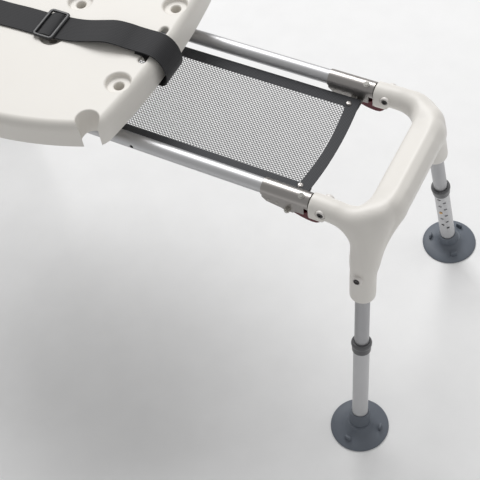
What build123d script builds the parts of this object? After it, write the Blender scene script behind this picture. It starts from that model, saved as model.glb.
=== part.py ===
"""Sliding bath transfer bench: a swivelling, sliding plastic seat on two aluminium rails,
with a moulded end frame, two height-adjustable legs and suction feet at each end.

Millimetres. +X runs along the rails, -Y is the front, +Z is up.
The origin is on the floor, under the middle of the bench.
"""
from build123d import *
import math
import os

os.makedirs("parts", exist_ok=True)

# ---------------------------------------------------------------- driving dimensions
RAIL_Z = 504.0              # height of the rail axes
RAIL_Y = 127.4              # rail axes either side of the middle plane
RAIL_R = 12.7
RAIL_WALL = 1.4
RAIL_HALF = 414.0           # half the length of a rail
LOCK_HOLE_X = 94.0          # seat stops along the rail
LOCK_HOLE_R = 3.4

SLEEVE_START = 335.0        # inner end of a rail bracket
SLEEVE_END = 418.0
SLEEVE_GAP = 0.15
SLEEVE_R = 14.7
PLATE_T = 2.0
PLATE_LOW_Z = 479.0

STUD_X = 383.0              # cross stud that the latch hooks onto
STUD_Z = 485.3
STUD_R = 3.0
RIVET_X = (349.0, 364.0)
RIVET_Z = 491.0

MOUTH_X = 420.0             # where the end frame meets the bracket
ARM_Z = 500.5
ARM_R = 19.3
BOLT_X = 442.0              # bolt that ties the spigot into the arm
BOLT_R = 3.0
CORNER_X = 510.5
CORNER_Y = 130.0
BEND_R = 66.0
SOCKET_R = 22.0
SOCKET_LOW_Z = 340.0
BAR_IN_X = 503.0            # inner edge of the crossbar
BAR_RIDGE_X = 539.0
BAR_OUT_X = 565.0
BAR_TOP_Z = 522.0
BAR_LOW_Z = 482.0

FOOT_X = 538.0              # a leg's axis where it meets the floor
FOOT_Y = 226.5
LEAN_X = 0.055              # how far a leg leans for each millimetre of height
LEAN_Y = 0.19
LEG_LENGTH = math.sqrt(1 + LEAN_X**2 + LEAN_Y**2)
UPPER_R = 12.7
LOWER_R = 14.3
LEG_WALL = 1.45
UPPER_LOW_Z = 106.0
UPPER_TOP_Z = 426.0
LOWER_LOW_Z = 13.0
LOWER_TOP_Z = 231.0
COLLAR_R = 18.0
COLLAR_LOW_Z = 211.0
COLLAR_TOP_Z = 233.5
LEG_BOLT_Z = 398.0
BUTTON_Z = 151.0
BUTTON_R = 3.1
HOLE_PITCH = 25.0
HOLES_PER_ROW = 5
HOLE_TOP_Z = BUTTON_Z + 2 * HOLE_PITCH
ROW_TURN = 38.0

FOOT_R = 53.5
HUB_R = 20.0
HUB_TOP_Z = 44.0

SEAT_X = -164.0             # middle of the seat at its left stop
SEAT_HALF_X = 262.0
SEAT_HALF_Y = 245.0
SIDE_BOW_R = 1170.0
FRONT_BOW_R = 570.0
SEAT_LOW_Z = 553.0
SEAT_TOP_Z = 604.0
SEAT_SKIN = 6.0
RIM = 9.0
SLOT_X = 239.0              # belt slot from the middle of the seat
SLOT_HALF = 44.0
SLOT_W = 13.0
RECESS_X = 227.0
RECESS_Y = 96.0
RECESS_R = 21.5
RECESS_DEPTH = 9.0
RECESS_HOLE_R = 9.0
DRAIN_X = 66.0
DRAIN_Y = 45.0
NOTCH_X = 222.0             # shower-head notch in each front corner
NOTCH_Y = 184.0
NOTCH_R = 19.5

CARRIAGE_HALF = 150.0
CARRIAGE_TOP_Z = 538.0
SADDLE_HALF = 18.2
SADDLE_LOW_Z = 497.5
GLIDE_R = 15.8
GLIDE_BORE = RAIL_R + 0.25
PLATE_SIDE = 200.0
BASE_TOP_Z = 541.0
RING_TOP_Z = 553.0
SWIVEL_TOP_Z = 556.0
RING_R = 75.0

NET_HALF_X = 400.0
NET_HALF_Y = 106.0
NET_Z = 492.0
NET_SAG = 9.0
NET_T = 1.6
NET_SCREW_X = 383.0
NET_SCREW_Y = 95.0

BELT_W = 50.0
BELT_T = 2.2
BELT_Z = SEAT_TOP_Z + 1.7   # middle of the webbing where it lies on the seat
BUCKLE_X = -118.0           # middle of the buckle from the middle of the seat
BUCKLE_Y = -33.0
GLIDE_X = 54.0              # middle of the strap slider
GLIDE_Y = -21.5
EASE = 0.4                  # gap left between touching faces of one body

SPIGOT_R = 11.2
SPIGOT_START = 331.0
SPIGOT_END = 478.0
PIVOT_X = 436.0             # latch pivot in the arm's mouth
PIVOT_Z = 484.0
PIN_R = 2.0
CAP_R = 8.5                 # cap washers of the end-frame bolts
SPOT_DEPTH = 2.0            # flat spot that each cap washer sits on
LATCH_HALF = 9.8
LATCH_SLOT = 10.6
LOCK_R = 3.0
STOP_R = 90.0               # swivel stops about the seat's middle
LEVER_PIVOT_Y = 112.0
LEVER_Z = 546.0
LEVER_HALF = 12.0

ENDS = {"left": -1, "right": 1}
SIDES = {"front": -1, "rear": 1}


def save(part, name):
    """Label a finished piece and write it."""
    part.label = name
    export_step(part, f"parts/{name}.step")


def leg_point(end, side, z):
    """A point on a leg's axis at height z."""
    return Vector(end * (FOOT_X - LEAN_X * z), side * (FOOT_Y - LEAN_Y * z), z)


def leg_plane(end, side, z):
    """A plane across a leg at height z. Its normal points up the leg, its x faces the other leg."""
    up = Vector(-end * LEAN_X, -side * LEAN_Y, 1).normalized()
    inward = (Vector(0, -side, 0) + up * (up.Y * side)).normalized()
    return Plane(origin=leg_point(end, side, z), x_dir=inward, z_dir=up)


# ---------------------------------------------------------------- rails and brackets
def make_rail(side):
    """One aluminium rail tube with its two seat-stop holes in the outer wall."""
    start = Plane.YZ.offset(-RAIL_HALF)
    with BuildPart() as rail:
        with BuildSketch(start):
            with Locations((side * RAIL_Y, RAIL_Z)):
                Circle(RAIL_R)
                Circle(RAIL_R - RAIL_WALL, mode=Mode.SUBTRACT)
        extrude(amount=2 * RAIL_HALF)
        outer = Plane(origin=(0, side * RAIL_Y, RAIL_Z), x_dir=(1, 0, 0), z_dir=(0, side, 0))
        with BuildSketch(outer):
            with Locations((-LOCK_HOLE_X, 0), (LOCK_HOLE_X, 0)):
                Circle(LOCK_HOLE_R)
        extrude(amount=RAIL_R + 1, mode=Mode.SUBTRACT)
    return rail.part


def make_bracket(end, side):
    """Stainless sleeve over a rail's end, with two plates hanging below it."""
    plate_y = SLEEVE_R - PLATE_T / 2
    with BuildPart() as bracket:
        with BuildSketch(Plane.YZ.offset(end * SLEEVE_START)):
            with Locations((side * RAIL_Y, RAIL_Z)):
                Circle(SLEEVE_R)
        extrude(amount=end * (SLEEVE_END - SLEEVE_START))
        for across in (-1, 1):
            face = side * RAIL_Y + across * plate_y
            with BuildSketch(Plane.XZ.offset(-face)) as outline:
                with BuildLine():
                    Polyline(
                        (end * 337, RAIL_Z),
                        (end * 337, 494),
                        (end * 345, 486.5),
                        (end * 371, 482),
                        (end * 377, PLATE_LOW_Z),
                        (end * 391, PLATE_LOW_Z),
                        (end * 396, 483.5),
                        (end * 411, 484),
                        (end * 411, RAIL_Z),
                        close=True,
                    )
                make_face()
                corners = outline.vertices().filter_by(lambda v: abs(v.Y) < RAIL_Z - 1)
                fillet(corners, 2.0)
            extrude(amount=PLATE_T / 2, both=True)
        with BuildSketch(Plane.YZ.offset(end * (SLEEVE_START - 1))):
            with Locations((side * RAIL_Y, RAIL_Z)):
                Circle(RAIL_R + SLEEVE_GAP)
        extrude(amount=end * (SLEEVE_END - SLEEVE_START + 2), mode=Mode.SUBTRACT)
        stud_line = Plane(origin=(end * STUD_X, side * RAIL_Y, STUD_Z), x_dir=(1, 0, 0), z_dir=(0, 1, 0))
        with BuildSketch(stud_line):
            Circle(STUD_R + 0.05)
        extrude(amount=SLEEVE_R + 2, both=True, mode=Mode.SUBTRACT)
        rivet_line = Plane(origin=(0, side * RAIL_Y, 0), x_dir=(1, 0, 0), z_dir=(0, -1, 0))
        with BuildSketch(rivet_line):
            with Locations(*[(end * x, RIVET_Z) for x in RIVET_X]):
                Circle(1.5)
        extrude(amount=SLEEVE_R + 2, both=True, mode=Mode.SUBTRACT)
    return bracket.part


def make_latch_studs():
    """Cross studs with a hex nut on the outside of each bracket."""
    with BuildPart() as latch_studs:
        for end in ENDS.values():
            for side in SIDES.values():
                axis = Plane(
                    origin=(end * STUD_X, side * RAIL_Y, STUD_Z), x_dir=(1, 0, 0), z_dir=(0, side, 0)
                )
                with BuildSketch(axis):
                    Circle(STUD_R)
                extrude(amount=SLEEVE_R + 7, both=False)
                with BuildSketch(axis):
                    Circle(STUD_R)
                extrude(amount=-(SLEEVE_R + 0.5))
                with BuildSketch(axis.offset(SLEEVE_R + 0.1)):
                    RegularPolygon(radius=5.2, side_count=6)
                extrude(amount=4.8)
                with BuildSketch(axis.offset(-SLEEVE_R - 0.1)):
                    Circle(4.6)
                extrude(amount=-2.2)
    return latch_studs.part


def make_bracket_rivets():
    """Two blind rivets through each bracket plate."""
    with BuildPart() as bracket_rivets:
        for end in ENDS.values():
            for side in SIDES.values():
                for across in (-1, 1):
                    for x in RIVET_X:
                        spot = Plane(
                            origin=(end * x, side * RAIL_Y, RIVET_Z), x_dir=(1, 0, 0), z_dir=(0, across, 0)
                        )
                        with BuildSketch(spot.offset(SLEEVE_R - PLATE_T)):
                            Circle(1.45)
                        extrude(amount=PLATE_T)
                        with BuildSketch(spot.offset(SLEEVE_R + 0.05)):
                            Circle(2.4)
                        extrude(amount=0.9, taper=25)
    return bracket_rivets.part


def make_bracket_screws():
    """Pan-head screws in a raised washer on the top outer corner of each bracket."""
    with BuildPart() as bracket_screws:
        for end in ENDS.values():
            for side in SIDES.values():
                top = Plane(
                    origin=(end * 404, side * RAIL_Y, RAIL_Z),
                    x_dir=(1, 0, 0),
                    z_dir=(0, -0.34, 0.94),
                )
                with BuildSketch(top.offset(SLEEVE_R + 0.2)):
                    Circle(5.2)
                extrude(amount=1.0)
                with BuildSketch(top.offset(SLEEVE_R + 1.2)):
                    Circle(3.6)
                extrude(amount=1.6, taper=20)
    return bracket_screws.part


# ---------------------------------------------------------------- net between the rails
def make_net_panel():
    """Net panel with its woven border, hung between the brackets and sagging in the middle."""
    with BuildPart() as net_panel:
        with BuildSketch(Plane.YZ.offset(-NET_HALF_X)):
            with BuildLine():
                ThreePointArc((-NET_HALF_Y, NET_Z), (0, NET_Z - NET_SAG), (NET_HALF_Y, NET_Z))
                Line((NET_HALF_Y, NET_Z), (NET_HALF_Y, NET_Z - NET_T))
                ThreePointArc(
                    (NET_HALF_Y, NET_Z - NET_T),
                    (0, NET_Z - NET_SAG - NET_T),
                    (-NET_HALF_Y, NET_Z - NET_T),
                )
                Line((-NET_HALF_Y, NET_Z - NET_T), (-NET_HALF_Y, NET_Z))
            make_face()
        extrude(amount=2 * NET_HALF_X)
        with BuildSketch(Plane.XY):
            with GridLocations(2 * NET_SCREW_X, 2 * NET_SCREW_Y, 2, 2):
                Circle(2.6)
        extrude(amount=NET_Z + 20, mode=Mode.SUBTRACT)
    return net_panel.part


def make_net_clips():
    """Small steel tabs that carry the corners of the net from the brackets."""
    reach = RAIL_Y - SLEEVE_R - 0.2
    with BuildPart() as net_clips:
        for end in ENDS.values():
            for side in SIDES.values():
                with BuildSketch(Plane.XY.offset(NET_Z - 7.4)):
                    with Locations((end * (NET_SCREW_X + 5), side * (NET_SCREW_Y + 3))):
                        RectangleRounded(26, 20, 4)
                    with Locations((end * 395, side * (reach - 5))):
                        Rectangle(12, 10)
                    with Locations((end * NET_SCREW_X, side * NET_SCREW_Y)):
                        Circle(2.6, mode=Mode.SUBTRACT)
                extrude(amount=1.4)
    return net_clips.part


def make_net_screws():
    """Cross-head screws through the net's corners into the clips."""
    with BuildPart() as net_screws:
        for end in ENDS.values():
            for side in SIDES.values():
                spot = (end * NET_SCREW_X, side * NET_SCREW_Y)
                with BuildSketch(Plane.XY.offset(NET_Z - 9)):
                    with Locations(spot):
                        Circle(2.4)
                extrude(amount=9.4)
                with BuildSketch(Plane.XY.offset(NET_Z - 0.6)):
                    with Locations(spot):
                        Circle(4.8)
                extrude(amount=2.2, taper=20)
                with BuildSketch(Plane.XY.offset(NET_Z + 0.6)):
                    with Locations(spot):
                        Rectangle(5, 1)
                        Rectangle(1, 5)
                extrude(amount=2, mode=Mode.SUBTRACT)
    return net_screws.part


# ---------------------------------------------------------------- end frames
def arm_route(end, side):
    """Corner points of the line that an arm follows into its leg socket."""
    return (
        Vector(end * MOUTH_X, side * RAIL_Y, ARM_Z),
        Vector(end * CORNER_X, side * CORNER_Y, ARM_Z),
        leg_point(end, side, SOCKET_LOW_Z + 20),
    )


def make_crossbar():
    """The right end frame's crossbar with its soft ridge, rounded in plan at both corners."""
    with BuildPart() as crossbar:
        with BuildSketch(Plane.XZ.offset(-160)):
            with BuildLine():
                Polyline(
                    (BAR_IN_X, BAR_LOW_Z),
                    (BAR_IN_X, 511),
                    (BAR_RIDGE_X, BAR_TOP_Z),
                    (BAR_OUT_X, 503),
                    (BAR_OUT_X - 4, BAR_LOW_Z - 6),
                    close=True,
                )
            bar_face = make_face()
            fillet(bar_face.vertices(), 8)
        extrude(amount=320)
        with BuildSketch(Plane.XY.offset(440)):
            with Locations((330, 0)):
                RectangleRounded(2 * (BAR_OUT_X - 330), 2 * (RAIL_Y + ARM_R - 1), 64)
        extrude(amount=100, mode=Mode.INTERSECT)
    return crossbar.part


def make_arm(side):
    """One arm of the right end frame: a round bar that bends down into the leg's line."""
    with BuildPart() as arm:
        with BuildLine() as route:
            FilletPolyline(*arm_route(1, side), radius=BEND_R)
        with BuildSketch(Plane(origin=route.line @ 0, z_dir=route.line % 0)):
            Circle(ARM_R)
        sweep(path=route.line)
    return arm.part


def make_socket(side):
    """The right end frame's leg socket with its flared shoulder."""
    low = leg_plane(1, side, SOCKET_LOW_Z)
    with BuildPart() as socket:
        with BuildSketch(Plane(origin=low.origin, x_dir=low.x_dir, z_dir=-low.y_dir)):
            with BuildLine():
                Polyline(
                    (0, 0),
                    (SOCKET_R - 5, 0),
                    (SOCKET_R - 1, 5),
                    (SOCKET_R, 12),
                    (SOCKET_R, 80),
                    (SOCKET_R - 3, 120),
                    (0, 138),
                    close=True,
                )
            make_face()
        revolve(axis=Axis(low.origin, low.z_dir))
    return socket.part


def make_shoulder(side):
    """Flare that carries the outer corner of the right crossbar down to the leg socket."""
    with BuildPart() as shoulder:
        with BuildSketch(leg_plane(1, side, 376)):
            Circle(SOCKET_R - 1)
        with BuildSketch(Plane.XY.offset(436)):
            with Locations((BAR_RIDGE_X - 15, side * 133)):
                Ellipse(26, 23)
        with BuildSketch(Plane.XY.offset(497)):
            with Locations((BAR_RIDGE_X - 5, side * 114)):
                Ellipse(27, 24)
        loft()
    return shoulder.part


def make_end_frame():
    """Moulded right end frame: two arms turn down into leg sockets, joined by a wide crossbar."""
    pieces = [make_crossbar()]
    for side in SIDES.values():
        pieces += [make_arm(side), make_socket(side), make_shoulder(side)]
    with BuildPart() as end_frame:
        for piece in pieces:
            add(piece)
        for side in SIDES.values():
            # leg bore, spigot bore and the slot that the latch swings in
            with BuildSketch(leg_plane(1, side, SOCKET_LOW_Z - 10)):
                Circle(UPPER_R + 0.05)
            extrude(amount=(UPPER_TOP_Z - SOCKET_LOW_Z + 11) * LEG_LENGTH, mode=Mode.SUBTRACT)
            with BuildSketch(Plane.YZ.offset(MOUTH_X - 5)):
                with Locations((side * RAIL_Y, RAIL_Z)):
                    Circle(SPIGOT_R + 0.05)
            extrude(amount=SPIGOT_END - MOUTH_X + 6, mode=Mode.SUBTRACT)
            with BuildSketch(Plane.YZ.offset(MOUTH_X - 5)):
                with Locations((side * RAIL_Y, 474)):
                    Rectangle(2 * LATCH_SLOT, 40)
            extrude(amount=46, mode=Mode.SUBTRACT)
            for line, radius in ((bolt_plane(1, side), BOLT_R), (latch_plane(1, side), PIN_R)):
                with BuildSketch(line):
                    Circle(radius + 0.05)
                extrude(amount=30, both=True, mode=Mode.SUBTRACT)
            with BuildSketch(leg_bolt_plane(1, side)):
                Circle(BOLT_R + 0.05)
            extrude(amount=30, both=True, mode=Mode.SUBTRACT)
            for line, reach in frame_bolt_lines(1, side):
                for out in (-1, 1):
                    with BuildSketch(line.offset(out * reach)):
                        Circle(CAP_R + 0.2)
                    extrude(amount=out * 12, mode=Mode.SUBTRACT)
    return end_frame.part


def bolt_plane(end, side):
    """Across an arm on the rail axis, with its normal pointing away from the other arm."""
    return Plane(origin=(end * BOLT_X, side * RAIL_Y, RAIL_Z), x_dir=(1, 0, 0), z_dir=(0, side, 0))


def latch_plane(end, side):
    """Across an arm's mouth on the latch pivot."""
    return Plane(origin=(end * PIVOT_X, side * RAIL_Y, PIVOT_Z), x_dir=(1, 0, 0), z_dir=(0, side, 0))


def leg_bolt_plane(end, side):
    """Across a leg socket, with its normal pointing away from the other leg."""
    spot = leg_plane(end, side, LEG_BOLT_Z)
    return Plane(origin=spot.origin, x_dir=spot.z_dir, z_dir=-spot.x_dir)


def make_spigot_tubes():
    """Steel tubes that plug the arms into the ends of the rails."""
    with BuildPart() as spigot_tubes:
        for end in ENDS.values():
            for side in SIDES.values():
                with BuildSketch(Plane.YZ.offset(end * SPIGOT_START)):
                    with Locations((side * RAIL_Y, RAIL_Z)):
                        Circle(SPIGOT_R)
                        Circle(SPIGOT_R - 1.5, mode=Mode.SUBTRACT)
                extrude(amount=end * (SPIGOT_END - SPIGOT_START))
                with BuildSketch(bolt_plane(end, side)):
                    Circle(BOLT_R + 0.05)
                extrude(amount=20, both=True, mode=Mode.SUBTRACT)
    return spigot_tubes.part


def make_upper_leg(end, side):
    """Upper leg tube, fixed in the end frame's socket. The lower leg slides over it."""
    with BuildPart() as upper_leg:
        with BuildSketch(leg_plane(end, side, UPPER_LOW_Z)):
            Circle(UPPER_R)
            Circle(UPPER_R - LEG_WALL, mode=Mode.SUBTRACT)
        extrude(amount=(UPPER_TOP_Z - UPPER_LOW_Z) * LEG_LENGTH)
        with BuildSketch(leg_bolt_plane(end, side)):
            Circle(BOLT_R + 0.05)
        extrude(amount=20, both=True, mode=Mode.SUBTRACT)
        with BuildSketch(button_plane(end, side, BUTTON_Z, 0)):
            Circle(BUTTON_R + 0.25)
        extrude(amount=20, mode=Mode.SUBTRACT)
    return upper_leg.part


def frame_bolt_lines(end, side):
    """Where the two bolts of one arm lie, and how far the moulding reaches from each axis."""
    return (bolt_plane(end, side), ARM_R - SPOT_DEPTH), (leg_bolt_plane(end, side), SOCKET_R - SPOT_DEPTH)


def make_frame_bolts():
    """The eight end-frame bolts, each with a cap washer, a socket head and a capped nut."""
    with BuildPart() as frame_bolts:
        for end in ENDS.values():
            for side in SIDES.values():
                for line, reach in frame_bolt_lines(end, side):
                    with BuildSketch(line.offset(-reach)):
                        Circle(BOLT_R)
                    extrude(amount=2 * reach)
                    with BuildSketch(line.offset(reach + 0.05)):
                        Circle(CAP_R)
                    extrude(amount=3.4, taper=30)
                    with BuildSketch(line.offset(reach + 3)):
                        Circle(4.8)
                    extrude(amount=1.2, taper=15)
                    with BuildSketch(line.offset(reach + 2)):
                        RegularPolygon(radius=2.3, side_count=6)
                    extrude(amount=4, mode=Mode.SUBTRACT)
                    with BuildSketch(line.offset(-reach - 0.05)):
                        Circle(CAP_R)
                    extrude(amount=-3.4, taper=30)
    return frame_bolts.part


def make_latch_pins():
    """Pivot pins of the four latches, across the end frames' mouths."""
    with BuildPart() as latch_pins:
        for end in ENDS.values():
            for side in SIDES.values():
                with BuildSketch(latch_plane(end, side)):
                    Circle(PIN_R)
                extrude(amount=11.5, both=True)
    return latch_pins.part


def make_latch(end, side):
    """Curved thumb latch that hooks round the bracket's cross stud from below."""
    with BuildPart() as latch:
        with BuildSketch(Plane.XZ.offset(-side * RAIL_Y)):
            with BuildLine():
                Line((end * 377.0, 486.5), (end * 377.5, 480.0))
                Spline(
                    (end * 377.5, 480.0),
                    (end * 392.0, 471.5),
                    (end * 412.0, 464.5),
                    (end * 434.0, 462.5),
                )
                Line((end * 434.0, 462.5), (end * 441.0, 466.0))
                Line((end * 441.0, 466.0), (end * 441.0, 488.0))
                Line((end * 441.0, 488.0), (end * 431.0, 488.0))
                Line((end * 431.0, 488.0), (end * 408.0, 479.5))
                Line((end * 408.0, 479.5), (end * 391.0, 483.0))
                Line((end * 391.0, 483.0), (end * 377.0, 486.5))
            make_face()
            with Locations((end * STUD_X, STUD_Z)):
                Circle(STUD_R + 0.35, mode=Mode.SUBTRACT)
            with Locations((end * STUD_X, STUD_Z + 6)):
                Rectangle(2 * STUD_R + 0.7, 12, mode=Mode.SUBTRACT)
            with Locations((end * PIVOT_X, PIVOT_Z)):
                Circle(PIN_R + 0.06, mode=Mode.SUBTRACT)
        extrude(amount=LATCH_HALF, both=True)
    return latch.part


# ---------------------------------------------------------------- telescoping legs
def button_plane(end, side, z, turn):
    """Across a leg at height z, looking out of the wall at an angle round from the inner side."""
    spot = leg_plane(end, side, z)
    angle = math.radians(turn) * end * side
    out = spot.x_dir * math.cos(angle) + spot.y_dir * math.sin(angle)
    return Plane(origin=spot.origin, x_dir=spot.z_dir, z_dir=out)


def hole_places():
    """Height and turn of every adjustment hole in a lower leg, two staggered rows."""
    places = []
    for step in range(HOLES_PER_ROW):
        places.append((HOLE_TOP_Z - step * HOLE_PITCH, 0))
        places.append((HOLE_TOP_Z - (step + 0.5) * HOLE_PITCH, ROW_TURN))
    return places


def make_lower_leg(end, side):
    """Lower leg tube with two staggered rows of height holes."""
    with BuildPart() as lower_leg:
        with BuildSketch(leg_plane(end, side, LOWER_LOW_Z)):
            Circle(LOWER_R)
            Circle(UPPER_R + 0.08, mode=Mode.SUBTRACT)
        extrude(amount=(LOWER_TOP_Z - LOWER_LOW_Z) * LEG_LENGTH)
        for z, turn in hole_places():
            with BuildSketch(button_plane(end, side, z, turn)):
                Circle(BUTTON_R + 0.3)
            extrude(amount=20, mode=Mode.SUBTRACT)
    return lower_leg.part


def make_leg_collar(end, side):
    """Plastic ferrule on the lower leg's open end, with a rounded upper rim."""
    low = leg_plane(end, side, COLLAR_LOW_Z)
    height = (COLLAR_TOP_Z - COLLAR_LOW_Z) * LEG_LENGTH
    inset = (LOWER_TOP_Z - COLLAR_LOW_Z) * LEG_LENGTH
    section = Plane(origin=low.origin, x_dir=low.x_dir, z_dir=-low.y_dir)
    with BuildPart() as leg_collar:
        with BuildSketch(section):
            with BuildLine():
                Polyline(
                    (LOWER_R + 0.02, 0),
                    (COLLAR_R - 1.6, 0),
                    (COLLAR_R - 0.8, 13),
                    (COLLAR_R, 15),
                    (COLLAR_R, height - 2),
                    (COLLAR_R - 2, height),
                    (UPPER_R + 0.3, height),
                    (UPPER_R + 0.3, inset + 0.1),
                    (LOWER_R + 0.02, inset + 0.1),
                    close=True,
                )
            make_face()
        revolve(axis=Axis(low.origin, low.z_dir))
    return leg_collar.part


def make_snap_button(end, side):
    """Snap button that stands in one of the lower leg's holes, with its foot inside the tube."""
    with BuildPart() as snap_button:
        with BuildSketch(button_plane(end, side, BUTTON_Z, 0).offset(6.5)):
            Circle(BUTTON_R)
        extrude(amount=9.0)
        with BuildSketch(button_plane(end, side, BUTTON_Z, 0).offset(5.2)):
            Circle(4.6)
        extrude(amount=1.8)
    return snap_button.part


def make_suction_foot(end, side):
    """Rubber suction foot with a tilted hub for the leg and three release tabs."""
    x = end * FOOT_X
    y = side * FOOT_Y
    with BuildPart() as suction_foot:
        with BuildSketch(Plane(origin=(x, y, 0), x_dir=(1, 0, 0), z_dir=(0, -1, 0))):
            with BuildLine():
                Polyline(
                    (0, 4.5),
                    (FOOT_R - 12, 3.0),
                    (FOOT_R - 4, 0),
                    (FOOT_R, 0),
                    (FOOT_R, 2.2),
                    (FOOT_R - 3, 4.6),
                    (FOOT_R - 14, 8.0),
                    (HUB_R + 3, 16.0),
                    (HUB_R, 22.0),
                    (0, 22.0),
                    close=True,
                )
            make_face()
        revolve(axis=Axis((x, y, 0), (0, 0, 1)))
        with BuildSketch(leg_plane(end, side, 10)):
            Circle(HUB_R)
        with BuildSketch(leg_plane(end, side, HUB_TOP_Z)):
            Circle(HUB_R - 2.5)
        loft()
        with BuildSketch(leg_plane(end, side, LOWER_LOW_Z - 0.1)):
            Circle(LOWER_R + 0.02)
        extrude(amount=50, mode=Mode.SUBTRACT)
        with BuildSketch(Plane.XY.offset(3.5)):
            with Locations((x, y)):
                with PolarLocations(FOOT_R - 8.5, 3, start_angle=end * side * 90 - 10):
                    RectangleRounded(4.5, 13, 1.5)
        extrude(amount=12)
    return suction_foot.part


# ---------------------------------------------------------------- seat
def seat_outline(inset=0.0):
    """Seat outline in plan: four bowed edges, about the middle of the seat."""
    half_x = SEAT_HALF_X - inset
    half_y = SEAT_HALF_Y - inset
    side_r = SIDE_BOW_R - inset
    front_r = FRONT_BOW_R - inset
    with BuildSketch() as outline:
        with Locations((half_x - side_r, 0)):
            Circle(side_r)
        with Locations((side_r - half_x, 0)):
            Circle(side_r, mode=Mode.INTERSECT)
        with Locations((0, front_r - half_y)):
            Circle(front_r, mode=Mode.INTERSECT)
        with Locations((0, half_y - front_r)):
            Circle(front_r, mode=Mode.INTERSECT)
        fillet(outline.vertices(), max(34 - inset, 10))
    return outline.sketch


def make_seat():
    """Moulded seat: rounded top, deep skirt, ribs beneath, recesses, belt slots and notches."""
    outer = seat_outline()
    inner = seat_outline(RIM)
    notches = [(sx * NOTCH_X, -NOTCH_Y) for sx in (-1, 1)]
    recesses = [(sx * RECESS_X, sy * RECESS_Y) for sx in (-1, 1) for sy in (-1, 1)]
    drains = [(sx * DRAIN_X, sy * DRAIN_Y) for sx in (-1, 1) for sy in (-1, 1)]
    slots = [(sx * SLOT_X, 0) for sx in (-1, 1)]
    low = Plane(origin=(SEAT_X, 0, SEAT_LOW_Z))
    under = Plane(origin=(SEAT_X, 0, SWIVEL_TOP_Z + EASE))
    top = Plane(origin=(SEAT_X, 0, SEAT_TOP_Z))
    cavity_top = SEAT_TOP_Z - SEAT_SKIN
    with BuildPart() as seat:
        with BuildSketch(low):
            add(outer)
        extrude(amount=SEAT_TOP_Z - SEAT_LOW_Z)
        fillet(seat.edges().group_by(Axis.Z)[-1], 9)
        with BuildSketch(low):
            add(inner)
        extrude(amount=cavity_top - SEAT_LOW_Z, mode=Mode.SUBTRACT)
        with BuildSketch(under):
            add(inner)
            for i in range(-3, 4):
                for j in range(-3, 3):
                    with Locations((i * 70, j * 74 + 37)):
                        RectangleRounded(66, 70, 6, mode=Mode.SUBTRACT)
            with Locations(*notches):
                Circle(NOTCH_R + 5)
            with Locations(*recesses):
                Circle(RECESS_R + 4)
            with Locations(*drains):
                Circle(RECESS_R + 2)
            with Locations(*slots):
                RectangleRounded(SLOT_W + 12, 2 * SLOT_HALF + 12, 8)
            with GridLocations(170, 170, 2, 2):
                Circle(7)
            add(inner, mode=Mode.INTERSECT)
        extrude(amount=cavity_top - under.origin.Z + 0.5)
        with BuildSketch(under):
            with GridLocations(170, 170, 2, 2):
                Circle(2.95)
        extrude(amount=9, mode=Mode.SUBTRACT)
        with BuildSketch(low):
            with Locations(*notches):
                Circle(NOTCH_R)
            for sx in (-1, 1):
                with Locations(Location((sx * (NOTCH_X + 14), -NOTCH_Y - 20), sx * 35)):
                    Rectangle(27, 50)
        extrude(amount=60, mode=Mode.SUBTRACT)
        with BuildSketch(top.offset(-RECESS_DEPTH)):
            with Locations(*recesses, *drains):
                Circle(RECESS_R)
        extrude(amount=RECESS_DEPTH + 1, mode=Mode.SUBTRACT)
        with BuildSketch(low):
            with Locations(*recesses, *drains):
                Circle(RECESS_HOLE_R)
            with Locations(*slots):
                RectangleRounded(SLOT_W, 2 * SLOT_HALF, SLOT_W / 2 - 0.1)
        extrude(amount=60, mode=Mode.SUBTRACT)
    return seat.part


# ---------------------------------------------------------------- swivel and carriage
def make_swivel_plate():
    """Square steel plate under the seat, with a pressed rim of stop holes for the swivel lock."""
    with BuildPart() as swivel_plate:
        with BuildSketch(Plane(origin=(SEAT_X, 0, RING_TOP_Z))):
            RectangleRounded(PLATE_SIDE, PLATE_SIDE, 14)
            Circle(30, mode=Mode.SUBTRACT)
            with PolarLocations(STOP_R, 4):
                Circle(4.2, mode=Mode.SUBTRACT)
            with GridLocations(170, 170, 2, 2):
                Circle(3, mode=Mode.SUBTRACT)
        extrude(amount=SWIVEL_TOP_Z - RING_TOP_Z)
    return swivel_plate.part


def make_seat_screws():
    """Screws that hold the swivel plate up against the seat's ribs."""
    with BuildPart() as seat_screws:
        for sx in (-1, 1):
            for sy in (-1, 1):
                with BuildSketch(Plane(origin=(SEAT_X + sx * 85, sy * 85, RING_TOP_Z - 2.6))):
                    Circle(5.5)
                extrude(amount=2.5)
                with BuildSketch(Plane(origin=(SEAT_X + sx * 85, sy * 85, RING_TOP_Z - 2.6))):
                    Circle(2.9)
                extrude(amount=14)
    return seat_screws.part


def make_swivel_ring():
    """Upper race of the turntable bearing, fixed under the swivel plate."""
    with BuildPart() as swivel_ring:
        with BuildSketch(Plane(origin=(SEAT_X, 0, BASE_TOP_Z + 4.2))):
            Circle(RING_R)
            Circle(RING_R - 26, mode=Mode.SUBTRACT)
        extrude(amount=RING_TOP_Z - BASE_TOP_Z - 4.2)
    return swivel_ring.part


def make_base_ring():
    """Lower race of the turntable bearing, with the central spigot that the upper race runs on."""
    with BuildPart() as base_ring:
        with BuildSketch(Plane(origin=(SEAT_X, 0, BASE_TOP_Z))):
            Circle(RING_R)
            Circle(25, mode=Mode.SUBTRACT)
        extrude(amount=3.9)
        with BuildSketch(Plane(origin=(SEAT_X, 0, BASE_TOP_Z))):
            Circle(RING_R - 26 - 0.06)
            Circle(25, mode=Mode.SUBTRACT)
        extrude(amount=RING_TOP_Z - BASE_TOP_Z - 1)
    return base_ring.part


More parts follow.
